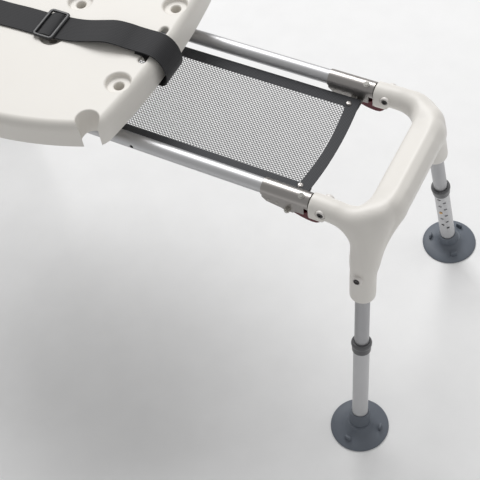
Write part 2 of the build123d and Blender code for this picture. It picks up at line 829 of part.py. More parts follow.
def make_base_plate():
    """Steel plate on the carriage that carries the turntable and the swivel lever's two ears."""
    with BuildPart() as base_plate:
        with BuildSketch(Plane(origin=(SEAT_X, 0, CARRIAGE_TOP_Z))):
            RectangleRounded(PLATE_SIDE + 30, PLATE_SIDE, 10)
            with Locations((0, -LEVER_PIVOT_Y)):
                Rectangle(44, 30)
            Circle(25, mode=Mode.SUBTRACT)
        extrude(amount=BASE_TOP_Z - CARRIAGE_TOP_Z)
        with BuildSketch(Plane(origin=(SEAT_X, 0, CARRIAGE_TOP_Z))):
            for sx in (-1, 1):
                with Locations((sx * (LEVER_HALF + 2.5), -LEVER_PIVOT_Y)):
                    Rectangle(3, 14)
        extrude(amount=LEVER_Z + 4 - CARRIAGE_TOP_Z)
        with BuildSketch(lever_axis_plane()):
            Circle(PIN_R + 0.05)
        extrude(amount=20, both=True, mode=Mode.SUBTRACT)
    return base_plate.part


def lever_axis_plane():
    """Across the swivel lever's pivot."""
    return Plane(origin=(SEAT_X, -LEVER_PIVOT_Y, LEVER_Z), x_dir=(0, 1, 0), z_dir=(1, 0, 0))


def make_lever_pin():
    """Pivot pin of the swivel lever."""
    with BuildPart() as lever_pin:
        with BuildSketch(lever_axis_plane()):
            Circle(PIN_R)
        extrude(amount=LEVER_HALF + 5, both=True)
    return lever_pin.part


def make_carriage():
    """Moulded carriage: two saddles that hook round the rails, joined by two cross beams."""
    with BuildPart() as carriage:
        for side in SIDES.values():
            with BuildSketch(Plane.YZ.offset(SEAT_X - CARRIAGE_HALF)):
                with Locations((side * RAIL_Y, (SADDLE_LOW_Z + CARRIAGE_TOP_Z) / 2)):
                    RectangleRounded(2 * SADDLE_HALF, CARRIAGE_TOP_Z - SADDLE_LOW_Z, 4)
                with Locations((side * RAIL_Y, RAIL_Z)):
                    Circle(GLIDE_R + 0.05, mode=Mode.SUBTRACT)
            extrude(amount=2 * CARRIAGE_HALF)
        for shift in (-85, 85):
            with BuildSketch(Plane(origin=(SEAT_X + shift, 0, CARRIAGE_TOP_Z - 16))):
                Rectangle(46, 2 * (RAIL_Y - SADDLE_HALF) + 4)
            extrude(amount=16)
        with BuildSketch(lock_plane()):
            Circle(LOCK_R + 0.06)
        extrude(amount=60, mode=Mode.SUBTRACT)
    return carriage.part


def make_glides():
    """Four low-friction liners between the carriage's saddles and the rails."""
    with BuildPart() as glides:
        for side in SIDES.values():
            for shift in (-1, 1):
                start = SEAT_X + shift * (CARRIAGE_HALF - 26) - 24
                with BuildSketch(Plane.YZ.offset(start)):
                    with Locations((side * RAIL_Y, RAIL_Z)):
                        Circle(GLIDE_R)
                        Circle(GLIDE_BORE, mode=Mode.SUBTRACT)
                    with Locations((side * RAIL_Y, RAIL_Z - 16.5)):
                        Rectangle(40, 20, mode=Mode.SUBTRACT)
                extrude(amount=48)
    return glides.part


def lock_plane():
    """On the front rail's axis at the seat's left stop, looking out to the front."""
    return Plane(origin=(-LOCK_HOLE_X, -RAIL_Y, RAIL_Z), x_dir=(1, 0, 0), z_dir=(0, -1, 0))


def make_slide_lock_housing():
    """Threaded housing for the slide lock pin, screwed to the front saddle."""
    with BuildPart() as slide_lock_housing:
        with BuildSketch(lock_plane().offset(SADDLE_HALF + 0.1)):
            RegularPolygon(radius=9, side_count=6)
            Circle(LOCK_R + 0.06, mode=Mode.SUBTRACT)
        extrude(amount=14)
    return slide_lock_housing.part


def make_slide_lock_pin():
    """Spring pin that drops into a rail hole."""
    with BuildPart() as slide_lock_pin:
        with BuildSketch(lock_plane().offset(RAIL_R - 3)):
            Circle(LOCK_R)
        extrude(amount=SADDLE_HALF + 22 - RAIL_R + 3)
    return slide_lock_pin.part


def make_slide_lock_knob():
    """Knob that pulls the slide lock pin out of the rail."""
    with BuildPart() as slide_lock_knob:
        with BuildSketch(lock_plane().offset(SADDLE_HALF + 14.6)):
            Circle(7)
        extrude(amount=4)
        with BuildSketch(lock_plane().offset(SADDLE_HALF + 17.5)):
            Circle(11.5)
        extrude(amount=12, taper=6)
        with BuildSketch(lock_plane().offset(SADDLE_HALF + 14)):
            Circle(LOCK_R + 0.01)
        extrude(amount=8, mode=Mode.SUBTRACT)
    return slide_lock_knob.part


def make_swivel_lever():
    """Hand lever under the front of the seat, bored for the tooth that stops the turntable."""
    with BuildPart() as swivel_lever:
        with BuildSketch(lever_axis_plane()):
            with BuildLine():
                Polyline(
                    (27, -2),
                    (27, 2),
                    (-38, 2),
                    (-46, -10),
                    (-128, -10),
                    (-128, -14.5),
                    (-49, -14.5),
                    (-40, -2),
                    close=True,
                )
            make_face()
            with Locations((0, 0)):
                Circle(3.6)
            Circle(PIN_R + 0.06, mode=Mode.SUBTRACT)
        extrude(amount=LEVER_HALF, both=True)
        with BuildSketch(Plane(origin=(SEAT_X, -STOP_R, LEVER_Z - 3))):
            Circle(2.56)
        extrude(amount=6, mode=Mode.SUBTRACT)
    return swivel_lever.part


def make_swivel_lock_tooth():
    """Steel tooth riveted in the lever, standing in a stop hole of the swivel plate."""
    with BuildPart() as swivel_lock_tooth:
        with BuildSketch(Plane(origin=(SEAT_X, -STOP_R, LEVER_Z - 2.6))):
            Circle(2.5)
        extrude(amount=4.7)
        with BuildSketch(Plane(origin=(SEAT_X, -STOP_R, LEVER_Z + 2.05))):
            Circle(3.8)
        extrude(amount=RING_TOP_Z - LEVER_Z - 1.05)
    return swivel_lock_tooth.part


# ---------------------------------------------------------------- belt
def belt_loop(end):
    """Profile of the belt's loop round the seat's edge and up through its slot."""
    x = SEAT_X
    slot = end * SLOT_X
    edge = end * (SEAT_HALF_X + 2.2)
    return [
        (x + end * 205, BELT_Z + 2.8),
        (x + end * 250, BELT_Z + 2.8),
        (x + end * 258, BELT_Z + 1.5),
        (x + edge - end * 1, BELT_Z - 5.5),
        (x + edge, BELT_Z - 14),
        (x + edge, SEAT_LOW_Z - 0.5),
        (x + edge - end * 5, SEAT_LOW_Z - 4),
        (x + slot + end * 7, SEAT_LOW_Z - 4),
        (x + slot, SEAT_LOW_Z + 3),
        (x + slot, BELT_Z - 4),
        (x + slot - end * 4, BELT_Z),
        (x + end * 206, BELT_Z),
    ]


def make_belt(end, run):
    """One half of the seat belt: a loop round the seat's edge and a run across the top."""
    with BuildPart() as belt:
        with BuildSketch(Plane.XZ):
            with BuildLine() as loop:
                Polyline(*belt_loop(end))
            trace(line_width=BELT_T)
        extrude(amount=BELT_W / 2, both=True)
        for x, y, rise in run:
            station = Plane(origin=(SEAT_X + x, y, BELT_Z + rise), x_dir=(0, 1, 0), z_dir=(end, 0, 0))
            with BuildSketch(station):
                Rectangle(BELT_W, BELT_T)
        loft(ruled=True)
    return belt.part


def make_belt_slider():
    """Three-bar slider that sets the belt's length."""
    with BuildPart() as belt_slider:
        with BuildSketch(Plane(origin=(SEAT_X + GLIDE_X, GLIDE_Y, BELT_Z + BELT_T / 2 + EASE))):
            RectangleRounded(40, 62, 4)
            with Locations((-9.5, 0), (9.5, 0)):
                RectangleRounded(8, 52, 2, mode=Mode.SUBTRACT)
        extrude(amount=4)
        chamfer(belt_slider.edges().group_by(Axis.Z)[-1].filter_by(GeomType.LINE), 0.8)
    return belt_slider.part


def make_buckle_socket():
    """Socket half of the side-release buckle."""
    with BuildPart() as buckle_socket:
        with BuildSketch(Plane(origin=(SEAT_X + BUCKLE_X, BUCKLE_Y, SEAT_TOP_Z + EASE))):
            with Locations((13, 0)):
                RectangleRounded(42, 62, 8)
        extrude(amount=13)
        fillet(buckle_socket.edges().group_by(Axis.Z)[-1], 3)
        with BuildSketch(Plane(origin=(SEAT_X + BUCKLE_X, BUCKLE_Y, SEAT_TOP_Z + EASE + 3))):
            with Locations((5, 0)):
                Rectangle(42, 50)
        extrude(amount=7, mode=Mode.SUBTRACT)
        with BuildSketch(Plane(origin=(SEAT_X + BUCKLE_X, BUCKLE_Y, SEAT_TOP_Z + EASE - 1))):
            for sy in (-1, 1):
                with Locations((6, sy * 33)):
                    RectangleRounded(20, 16, 4)
        extrude(amount=16, mode=Mode.SUBTRACT)
    return buckle_socket.part


def make_buckle_tongue():
    """Tongue half of the buckle, with its middle guide and two sprung prongs in the socket."""
    with BuildPart() as buckle_tongue:
        with BuildSketch(Plane(origin=(SEAT_X + BUCKLE_X, BUCKLE_Y, SEAT_TOP_Z + EASE + 3.5))):
            with Locations((-20, 0)):
                RectangleRounded(22, 58, 6)
            with Locations((5, 0)):
                Rectangle(36, 8)
            for sy in (-1, 1):
                with Locations((2, sy * 19)):
                    Rectangle(30, 7)
            with Locations((-23, 0)):
                RectangleRounded(5, 51.5, 2, mode=Mode.SUBTRACT)
        extrude(amount=6)
    return buckle_tongue.part


# Runs of webbing across the seat: distance from the seat's middle, sideways place, rise.
RIGHT_RUN = [
    (205, 0, 2.8), (188, -2, 6), (165, -5, 10), (140, -9, 8.5), (112, -13, 2.5), (92, -16, 0.2),
    (30, -23, 0.2), (0, -28, 0.6), (-45, -32, 0.2), (-82, BUCKLE_Y, 0.8),
]
LEFT_RUN = [
    (-205, 0, 2.8), (-188, -9, 5), (-172, -18, 3), (-154, -29, 0.6), (-151, BUCKLE_Y, 0.8),
]

save(make_rail(-1), "rail_front")
save(make_rail(1), "rail_rear")
for end_name, end in ENDS.items():
    for side_name, side in SIDES.items():
        corner = f"{end_name}_{side_name}"
        save(make_bracket(end, side), f"rail_bracket_{corner}")
        save(make_latch(end, side), f"latch_lever_{corner}")
        save(make_upper_leg(end, side), f"upper_leg_tube_{corner}")
        save(make_lower_leg(end, side), f"lower_leg_tube_{corner}")
        save(make_leg_collar(end, side), f"leg_collar_{corner}")
        save(make_snap_button(end, side), f"snap_button_{corner}")
        save(make_suction_foot(end, side), f"suction_foot_{corner}")
right_frame = make_end_frame()
save(right_frame, "end_frame_right")
save(mirror(right_frame, about=Plane.YZ), "end_frame_left")
save(make_spigot_tubes(), "spigot_tubes")
save(make_frame_bolts(), "frame_bolts")
save(make_latch_pins(), "latch_pins")
save(make_latch_studs(), "latch_studs")
save(make_bracket_rivets(), "bracket_rivets")
save(make_bracket_screws(), "bracket_screws")
save(make_net_panel(), "net_panel")
save(make_net_clips(), "net_clips")
save(make_net_screws(), "net_screws")
save(make_carriage(), "seat_carriage")
save(make_glides(), "carriage_glides")
save(make_base_plate(), "turntable_base_plate")
save(make_base_ring(), "turntable_lower_race")
save(make_swivel_ring(), "turntable_upper_race")
save(make_swivel_plate(), "swivel_plate")
save(make_seat_screws(), "seat_screws")
save(make_seat(), "seat")
save(make_slide_lock_housing(), "slide_lock_housing")
save(make_slide_lock_pin(), "slide_lock_pin")
save(make_slide_lock_knob(), "slide_lock_knob")
save(make_swivel_lever(), "swivel_lever")
save(make_lever_pin(), "swivel_lever_pin")
save(make_swivel_lock_tooth(), "swivel_lock_tooth")
save(make_belt(1, RIGHT_RUN), "belt_right")
save(make_belt(-1, LEFT_RUN), "belt_left")
save(make_belt_slider(), "belt_slider")
save(make_buckle_socket(), "buckle_socket")
save(make_buckle_tongue(), "buckle_tongue")
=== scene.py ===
"""Looks of a sliding bath transfer bench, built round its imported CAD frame.

Laid out as an add-on and run as a script: one operator for each piece or group of like pieces.
Metres throughout. +X runs along the rails, -Y is the front, +Z is up, the floor is at Z = 0.
"""
import math

import bmesh
import bpy
import numpy as np
from mathutils import Matrix, Vector


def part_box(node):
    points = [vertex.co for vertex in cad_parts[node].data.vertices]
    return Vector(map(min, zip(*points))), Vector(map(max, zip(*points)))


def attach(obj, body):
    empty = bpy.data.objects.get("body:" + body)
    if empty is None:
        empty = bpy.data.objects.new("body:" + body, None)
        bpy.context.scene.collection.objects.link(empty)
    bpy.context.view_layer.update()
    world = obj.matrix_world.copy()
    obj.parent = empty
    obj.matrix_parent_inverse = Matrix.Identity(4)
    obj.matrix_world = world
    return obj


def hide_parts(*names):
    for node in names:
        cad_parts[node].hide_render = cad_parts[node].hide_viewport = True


bl_info = {
    "name": "Bath transfer bench looks",
    "version": (1, 0, 0),
    "blender": (4, 5, 0),
    "location": "3D View > Sidebar > Bench",
    "description": "Builds the visible pieces and finishes of a sliding bath transfer bench",
    "category": "Object",
}

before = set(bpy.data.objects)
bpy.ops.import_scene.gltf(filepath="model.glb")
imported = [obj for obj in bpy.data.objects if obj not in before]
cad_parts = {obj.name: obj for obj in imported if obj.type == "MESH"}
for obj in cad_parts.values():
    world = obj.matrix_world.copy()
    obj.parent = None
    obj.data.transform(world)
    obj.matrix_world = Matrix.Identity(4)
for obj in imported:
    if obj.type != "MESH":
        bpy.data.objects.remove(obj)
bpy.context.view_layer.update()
MM = 0.001
ENDS = {"left": -1, "right": 1}
SIDES = {"front": -1, "rear": 1}
CORNERS = [(f"{e}_{s}", ENDS[e], SIDES[s]) for e in ENDS for s in SIDES]


def middle(node):
    """Middle of a CAD node's box."""
    low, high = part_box(node)
    return (low + high) / 2


RAIL = middle("rail_rear")
MOUTH_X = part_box("end_frame_right")[0].x
FOOT = middle("suction_foot_right_rear")
FOOT_R = (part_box("suction_foot_right_rear")[1].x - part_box("suction_foot_right_rear")[0].x) / 2
SEAT_LOW, SEAT_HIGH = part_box("seat")
SEAT_X = (SEAT_LOW.x + SEAT_HIGH.x) / 2
SEAT_TOP = SEAT_HIGH.z
NET_LOW, NET_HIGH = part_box("net_panel")

# Seat, from its middle: shower-head notches, and the spacing of the ribs beneath.
NOTCH_X = 0.222
NOTCH_Y = -0.184
LONG_RIB_PITCH = 0.074
CROSS_RIB_PITCH = 0.070

# Net: width of its border, and the spacing and radius of its strands.
BORDER_WIDTH = 0.0205
STRAND_PITCH = 0.0042
STRAND_R = 0.00054

# Leg lines, as in the CAD: outward lean for each unit of height.
FOOT_X = 538 * MM
FOOT_Y = 226.5 * MM
LEAN_X = 0.055
LEAN_Y = 0.19


# ---------------------------------------------------------------- mesh helpers
def mesh_object(name, verts, faces, sharp=32.0, merge=1e-6, recalc=True):
    """A new object from points and faces: doubles merged, normals outward, hard edges marked."""
    mesh = bpy.data.meshes.new(name)
    mesh.from_pydata([tuple(v) for v in verts], [], [tuple(f) for f in faces])
    thing = bpy.data.objects.new(name, mesh)
    bpy.context.scene.collection.objects.link(thing)
    tidy(thing, sharp, merge, recalc)
    return thing


def tidy(thing, sharp=32.0, merge=1e-6, recalc=True):
    """Merge doubles, face normals outward, smooth shading with hard edges marked."""
    mesh = bmesh.new()
    mesh.from_mesh(thing.data)
    if merge:
        bmesh.ops.remove_doubles(mesh, verts=mesh.verts, dist=merge)
    if recalc:
        bmesh.ops.recalc_face_normals(mesh, faces=mesh.faces)
    for face in mesh.faces:
        face.smooth = len(face.verts) < 9
    limit = math.radians(sharp)
    for edge in mesh.edges:
        edge.smooth = len(edge.link_faces) < 2 or edge.calc_face_angle(0) < limit
    mesh.to_mesh(thing.data)
    mesh.free()
    return thing


def bake_modifiers(thing):
    """Turn a piece's modifiers into plain mesh."""
    bpy.context.view_layer.update()
    seen = thing.evaluated_get(bpy.context.evaluated_depsgraph_get())
    baked = bpy.data.meshes.new_from_object(seen)
    baked.name = thing.name
    old = thing.data
    thing.modifiers.clear()
    thing.data = baked
    bpy.data.meshes.remove(old)
    return thing


def drop(*things):
    """Remove helper objects."""
    for thing in things:
        mesh = thing.data
        bpy.data.objects.remove(thing)
        bpy.data.meshes.remove(mesh)


def join(name, things):
    """One object from several, with every solid kept as it is."""
    verts = []
    faces = []
    for thing in things:
        start = len(verts)
        verts += [v.co.copy() for v in thing.data.vertices]
        faces += [[start + i for i in p.vertices] for p in thing.data.polygons]
    drop(*things)
    return mesh_object(name, verts, faces, merge=0, recalc=False)


def carve(thing, cutters, operation="DIFFERENCE", sharp=32.0):
    """Boolean with each cutter in turn."""
    for cutter in cutters:
        step = thing.modifiers.new("cut", "BOOLEAN")
        step.object = cutter
        step.operation = operation
        step.solver = "EXACT"
    bake_modifiers(thing)
    drop(*cutters)
    return tidy(thing, sharp, merge=1e-7, recalc=False)


def basis(axis, towards=None):
    """Three unit vectors: two across the axis and the axis itself."""
    w = Vector(axis).normalized()
    hint = Vector(towards) if towards is not None else Vector((0, 0, 1))
    if abs(hint.normalized().dot(w)) > 0.99:
        hint = Vector((1, 0, 0))
    u = (hint - w * hint.dot(w)).normalized()
    return u, w.cross(u), w


def lathe(name, profile, origin, axis, steps=40, closed=False):
    """Turned solid: profile points are (radius, distance along the axis)."""
    u, v, w = basis(axis)
    verts = []
    for radius, along in profile:
        for k in range(steps):
            turn = 2 * math.pi * k / steps
            spot = Vector(origin) + w * along + (u * math.cos(turn) + v * math.sin(turn)) * radius
            verts.append(spot)
    rows = len(profile)
    last = rows if closed else rows - 1
    faces = []
    for i in range(last):
        j = (i + 1) % rows
        for k in range(steps):
            n = (k + 1) % steps
            faces.append((i * steps + k, i * steps + n, j * steps + n, j * steps + k))
    if not closed:
        for row, along in ((0, profile[0]), (rows - 1, profile[-1])):
            if along[0] > 1e-6:
                faces.append([row * steps + k for k in range(steps)])
    return clean_poles(mesh_object(name, verts, faces))


def clean_poles(thing):
    """Drop faces that merging left with no area."""
    mesh = bmesh.new()
    mesh.from_mesh(thing.data)
    bmesh.ops.dissolve_degenerate(mesh, edges=mesh.edges, dist=1e-7)
    mesh.to_mesh(thing.data)
    mesh.free()
    return thing


def arc(cx, cy, radius, start, stop, steps=6):
    """Points of an arc in plan, angles in degrees."""
    out = []
    for k in range(steps + 1):
        turn = math.radians(start + (stop - start) * k / steps)
        out.append((cx + radius * math.cos(turn), cy + radius * math.sin(turn)))
    return out


def rounded_box_outline(width, height, radius, steps=6, cx=0.0, cy=0.0):
    """Rectangle with round corners about (cx, cy)."""
    a = width / 2 - radius
    b = height / 2 - radius
    spots = ((a, b, 0), (-a, b, 90), (-a, -b, 180), (a, -b, 270))
    return [p for x, y, s in spots for p in arc(cx + x, cy + y, radius, s, s + 90, steps)]


def soften(points, radius, steps=5):
    """Round each corner of a closed outline."""
    out = []
    count = len(points)
    for i, point in enumerate(points):
        here = Vector(point)
        before = Vector(points[i - 1])
        after = Vector(points[(i + 1) % count])
        reach = min(radius, (before - here).length * 0.45, (after - here).length * 0.45)
        start = here + (before - here).normalized() * reach
        stop = here + (after - here).normalized() * reach
        for k in range(steps + 1):
            t = k / steps
            out.append(tuple((1 - t) ** 2 * start + 2 * t * (1 - t) * here + t * t * stop))
    return out


def stack(name, outline, rings, origin=(0, 0, 0), axes=((1, 0, 0), (0, 1, 0))):
    """Closed solid through copies of a plan outline, each at a height and an inset."""
    u = Vector(axes[0]).normalized()
    v = Vector(axes[1]).normalized()
    w = u.cross(v)
    flat = np.array(outline, float)
    side = np.roll(flat, -1, 0) - np.roll(flat, 1, 0)
    normal = np.stack([side[:, 1], -side[:, 0]], 1)
    normal /= np.maximum(np.linalg.norm(normal, axis=1), 1e-12)[:, None]
    area = np.sum(flat[:, 0] * np.roll(flat[:, 1], -1) - np.roll(flat[:, 0], -1) * flat[:, 1])
    if area < 0:
        normal = -normal
    verts = []
    for height, inset in rings:
        for (x, y), (nx, ny) in zip(flat, normal):
            verts.append(Vector(origin) + u * (x - nx * inset) + v * (y - ny * inset) + w * height)
    count = len(flat)
    faces = [list(range(count)), [len(verts) - count + k for k in range(count)]]
    for i in range(len(rings) - 1):
        for k in range(count):
            n = (k + 1) % count
            faces.append((i * count + k, i * count + n, (i + 1) * count + n, (i + 1) * count + k))
    return mesh_object(name, verts, faces)


def prism(name, outline, origin, across, up, half, edge=0.0):
    """Slab of an outline, half thick either side of its plane, with rounded rims."""
    rims = [(-half, 0.0), (half, 0.0)]
    if edge:
        rims = [(-half, edge), (-half + 0.3 * edge, 0.3 * edge), (-half + edge, 0.0)]
        rims += [(half - edge, 0.0), (half - 0.3 * edge, 0.3 * edge), (half, edge)]
    return stack(name, outline, rims, origin, (across, up))


def mirrored(thing, name):
    """The same piece on the other side of the bench's middle."""
    verts = [Vector((-v.co.x, v.co.y, v.co.z)) for v in thing.data.vertices]
    faces = [list(reversed(p.vertices)) for p in thing.data.polygons]
    return mesh_object(name, verts, faces, merge=0, recalc=False)


def settle(thing, body, material, slot, *nodes):
    """Give a finished piece its material and its body, and hide the CAD nodes it stands for; the slot is
    not used.
    """
    thing.data.materials.clear()
    thing.data.materials.append(material)
    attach(thing, body)
    if nodes:
        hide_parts(*nodes)
    return thing


def leg_frame(end, side, z):
    """A point on a leg's axis, the way up the leg, and the way to the other leg."""
    spot = Vector((end * (FOOT_X - LEAN_X * z), side * (FOOT_Y - LEAN_Y * z), z))
    up = Vector((-end * LEAN_X, -side * LEAN_Y, 1)).normalized()
    inward = Vector((0, -side, 0))
    inward = (inward - up * inward.dot(up)).normalized()
    return spot, up, inward


# ---------------------------------------------------------------- finishes
def finish_of(name, colour, rough, metal=0.0, grain=(900.0, 0.05, 0.06), second=None,
              brushed=None):
    """Procedural finish: fine grain in the bump and roughness, and a slow drift of colour."""
    made = bpy.data.materials.new(name)
    made.use_nodes = True
    nodes = made.node_tree.nodes
    links = made.node_tree.links
    shader = nodes["Principled BSDF"]
    coords = nodes.new("ShaderNodeTexCoord")
    place = nodes.new("ShaderNodeMapping")
    links.new(coords.outputs["Object"], place.inputs["Vector"])
    place.inputs["Scale"].default_value = brushed or (1, 1, 1)
    fine = nodes.new("ShaderNodeTexNoise")
    fine.inputs["Scale"].default_value = grain[0]
    fine.inputs["Detail"].default_value = 4.0
    links.new(place.outputs["Vector"], fine.inputs["Vector"])
    slow = nodes.new("ShaderNodeTexNoise")
    slow.inputs["Scale"].default_value = 14.0
    slow.inputs["Detail"].default_value = 3.0
    links.new(coords.outputs["Object"], slow.inputs["Vector"])
    ramp = nodes.new("ShaderNodeMix")
    ramp.data_type = "RGBA"
    ramp.inputs["A"].default_value = (*colour, 1)
    ramp.inputs["B"].default_value = (*(second or [c * 0.93 for c in colour]), 1)
    links.new(slow.outputs["Fac"], ramp.inputs["Factor"])
    links.new(ramp.outputs["Result"], shader.inputs["Base Color"])
    spread = nodes.new("ShaderNodeMapRange")
    spread.inputs["To Min"].default_value = max(rough - grain[2], 0.02)
    spread.inputs["To Max"].default_value = rough + grain[2]
    links.new(fine.outputs["Fac"], spread.inputs["Value"])
    links.new(spread.outputs["Result"], shader.inputs["Roughness"])
    bump = nodes.new("ShaderNodeBump")
    bump.inputs["Strength"].default_value = grain[1]
    bump.inputs["Distance"].default_value = 0.0004
    links.new(fine.outputs["Fac"], bump.inputs["Height"])
    links.new(bump.outputs["Normal"], shader.inputs["Normal"])
    shader.inputs["Metallic"].default_value = metal
    return made


def weave_of(name, dark, light, across, along, rough):
    """Woven webbing: ribs across the strap broken up by the warp threads, in metres on the UVs."""
    made = bpy.data.materials.new(name)
    made.use_nodes = True
    nodes = made.node_tree.nodes
    links = made.node_tree.links
    shader = nodes["Principled BSDF"]
    coords = nodes.new("ShaderNodeTexCoord")
    bands = []
    for direction, scale in (("X", across), ("Y", along)):
        wave = nodes.new("ShaderNodeTexWave")
        wave.bands_direction = direction
        wave.inputs["Scale"].default_value = scale
        wave.inputs["Distortion"].default_value = 0.6
        links.new(coords.outputs["UV"], wave.inputs["Vector"])
        bands.append(wave)
    cross = nodes.new("ShaderNodeMath")
    cross.operation = "MULTIPLY"
    links.new(bands[0].outputs["Fac"], cross.inputs[0])
    links.new(bands[1].outputs["Fac"], cross.inputs[1])
    tone = nodes.new("ShaderNodeMix")
    tone.data_type = "RGBA"
    tone.inputs["A"].default_value = (*dark, 1)
    tone.inputs["B"].default_value = (*light, 1)
    links.new(cross.outputs["Value"], tone.inputs["Factor"])
    links.new(tone.outputs["Result"], shader.inputs["Base Color"])
    bump = nodes.new("ShaderNodeBump")
    bump.inputs["Strength"].default_value = 0.5
    bump.inputs["Distance"].default_value = 0.0004
    links.new(cross.outputs["Value"], bump.inputs["Height"])
    links.new(bump.outputs["Normal"], shader.inputs["Normal"])
    shader.inputs["Roughness"].default_value = rough
    shader.inputs["Sheen Weight"].default_value = 0.15
    return made


def finishes():
    """Every finish by its slot's name, made once."""
    if "bench frame plastic" in bpy.data.materials:
        return {m["slot"]: m for m in bpy.data.materials if "slot" in m}
    cream = (0.80, 0.775, 0.735)
    made = {
        "frame_plastic": finish_of("bench frame plastic", cream, 0.42, second=(0.78, 0.75, 0.70)),
        "seat_plastic": finish_of("bench seat plastic", (0.79, 0.765, 0.72), 0.45,
                                  grain=(1400.0, 0.12, 0.06), second=(0.77, 0.74, 0.69)),
        "rail_aluminium": finish_of("satin aluminium", (0.62, 0.62, 0.63), 0.46, 0.85,
                                    (500.0, 0.01, 0.04), brushed=(0.03, 1, 1)),
        "stainless": finish_of("stainless steel", (0.42, 0.40, 0.385), 0.33, 1.0,
                               (300.0, 0.008, 0.03), brushed=(0.1, 1, 1)),
        "zinc_steel": finish_of("zinc plated steel", (0.46, 0.455, 0.45), 0.36, 1.0,
                                (260.0, 0.015, 0.06), second=(0.58, 0.56, 0.50)),
        "cap_plastic": finish_of("cap washers", (0.78, 0.75, 0.72), 0.3),
        "net_fabric": finish_of("net strands", (0.075, 0.077, 0.085), 0.62,
                                grain=(2600.0, 0.2, 0.1)),
        "upper_leg_aluminium": finish_of("anodised upper tube", (0.44, 0.44, 0.45), 0.42, 0.75,
                                         (700.0, 0.012, 0.04), brushed=(1, 1, 0.05)),
        "lower_leg_coat": finish_of("coated lower tube", (0.60, 0.60, 0.61), 0.45, 0.35,
                                    (800.0, 0.05, 0.06)),
        "collar_plastic": finish_of("collar plastic", (0.115, 0.115, 0.12), 0.34,
                                    grain=(1200.0, 0.05, 0.06)),
        "foot_rubber": finish_of("foot rubber", (0.135, 0.155, 0.185), 0.52,
                                 grain=(700.0, 0.25, 0.1), second=(0.115, 0.13, 0.155)),
        "button_brass": finish_of("brass button", (0.55, 0.33, 0.13), 0.3, 1.0),
        "latch_red": finish_of("red latch", (0.115, 0.006, 0.014), 0.4, second=(0.09, 0.005, 0.012)),
        "carriage_plastic": finish_of("carriage plastic", (0.60, 0.59, 0.57), 0.5),
        "glide_plastic": finish_of("glide plastic", (0.70, 0.70, 0.68), 0.4),
        "black_plastic": finish_of("black plastic", (0.028, 0.028, 0.03), 0.42,
                                   grain=(1100.0, 0.15, 0.08)),
        "belt_webbing": weave_of("belt webbing", (0.008, 0.008, 0.010), (0.026, 0.026, 0.029),
                                 95.0, 130.0, 0.75),
        "net_border": weave_of("net border tape", (0.035, 0.036, 0.04), (0.085, 0.087, 0.094),
                               120.0, 120.0, 0.8),
        "socket_dark": finish_of("hex socket", (0.07, 0.065, 0.065), 0.4, 0.6),
    }
    for slot, material in made.items():
        material["slot"] = slot
    return made


CAD_FINISHES = {
    "spigot_tubes": "zinc_steel", "latch_pins": "stainless", "latch_studs": "zinc_steel",
    "seat_carriage": "carriage_plastic", "carriage_glides": "glide_plastic",
    "turntable_base_plate": "zinc_steel", "turntable_lower_race": "zinc_steel",
    "turntable_upper_race": "zinc_steel", "slide_lock_housing": "zinc_steel",
    "slide_lock_pin": "zinc_steel", "slide_lock_knob": "black_plastic",
    "swivel_lever_pin": "zinc_steel", "swivel_lever": "zinc_steel",
    "swivel_lock_tooth": "zinc_steel", "swivel_plate": "zinc_steel", "seat_screws": "zinc_steel",
    "rail_front": "rail_aluminium", "rail_rear": "rail_aluminium",
}


def paint(node, slot):
    """Give a CAD node its finish."""
    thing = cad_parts[node]
    thing.data.materials.clear()
    thing.data.materials.append(finishes()[slot])
    for face in thing.data.polygons:
        face.material_index = 0


def copies(name, shape, spots):
    """One mesh with the shape at every (place, axis, turn) spot, placed by Geometry Nodes."""
    cloud = bpy.data.meshes.new(name)
    cloud.from_pydata([tuple(p) for p, _, _ in spots], [], [])
    turns = cloud.attributes.new("turn", "FLOAT_VECTOR", "POINT")
    for item, (_, axis, twist) in zip(turns.data, spots):
        u, v, w = basis(axis, twist)
        item.vector = Matrix((u, v, w)).transposed().to_euler()
    thing = bpy.data.objects.new(name, cloud)
    bpy.context.scene.collection.objects.link(thing)
    tree = bpy.data.node_groups.new(name + " copies", "GeometryNodeTree")
    tree.interface.new_socket("Geometry", in_out="INPUT", socket_type="NodeSocketGeometry")
    pick = tree.interface.new_socket("Shape", in_out="INPUT", socket_type="NodeSocketObject")
    size = tree.interface.new_socket("Size", in_out="INPUT", socket_type="NodeSocketFloat")
    tree.interface.new_socket("Geometry", in_out="OUTPUT", socket_type="NodeSocketGeometry")
    entry = tree.nodes.new("NodeGroupInput")
    leave = tree.nodes.new("NodeGroupOutput")
    info = tree.nodes.new("GeometryNodeObjectInfo")
    place = tree.nodes.new("GeometryNodeInstanceOnPoints")
    field = tree.nodes.new("GeometryNodeInputNamedAttribute")
    field.data_type = "FLOAT_VECTOR"
    field.inputs["Name"].default_value = "turn"
    real = tree.nodes.new("GeometryNodeRealizeInstances")
    coat = tree.nodes.new("GeometryNodeSetMaterial")
    coat.inputs["Material"].default_value = shape.data.materials[0]
    tree.links.new(entry.outputs["Geometry"], place.inputs["Points"])
    tree.links.new(entry.outputs["Shape"], info.inputs["Object"])
    tree.links.new(entry.outputs["Size"], place.inputs["Scale"])
    tree.links.new(info.outputs["Geometry"], place.inputs["Instance"])
    tree.links.new(field.outputs["Attribute"], place.inputs["Rotation"])
    tree.links.new(place.outputs["Instances"], real.inputs["Geometry"])
    tree.links.new(real.outputs["Geometry"], coat.inputs["Geometry"])
    tree.links.new(coat.outputs["Geometry"], leave.inputs["Geometry"])
    step = thing.modifiers.new("copies", "NODES")
    step.node_group = tree
    step[pick.identifier] = shape
    step[size.identifier] = 1.0
    bake_modifiers(thing)
    return tidy(thing, 32.0, merge=0, recalc=False)


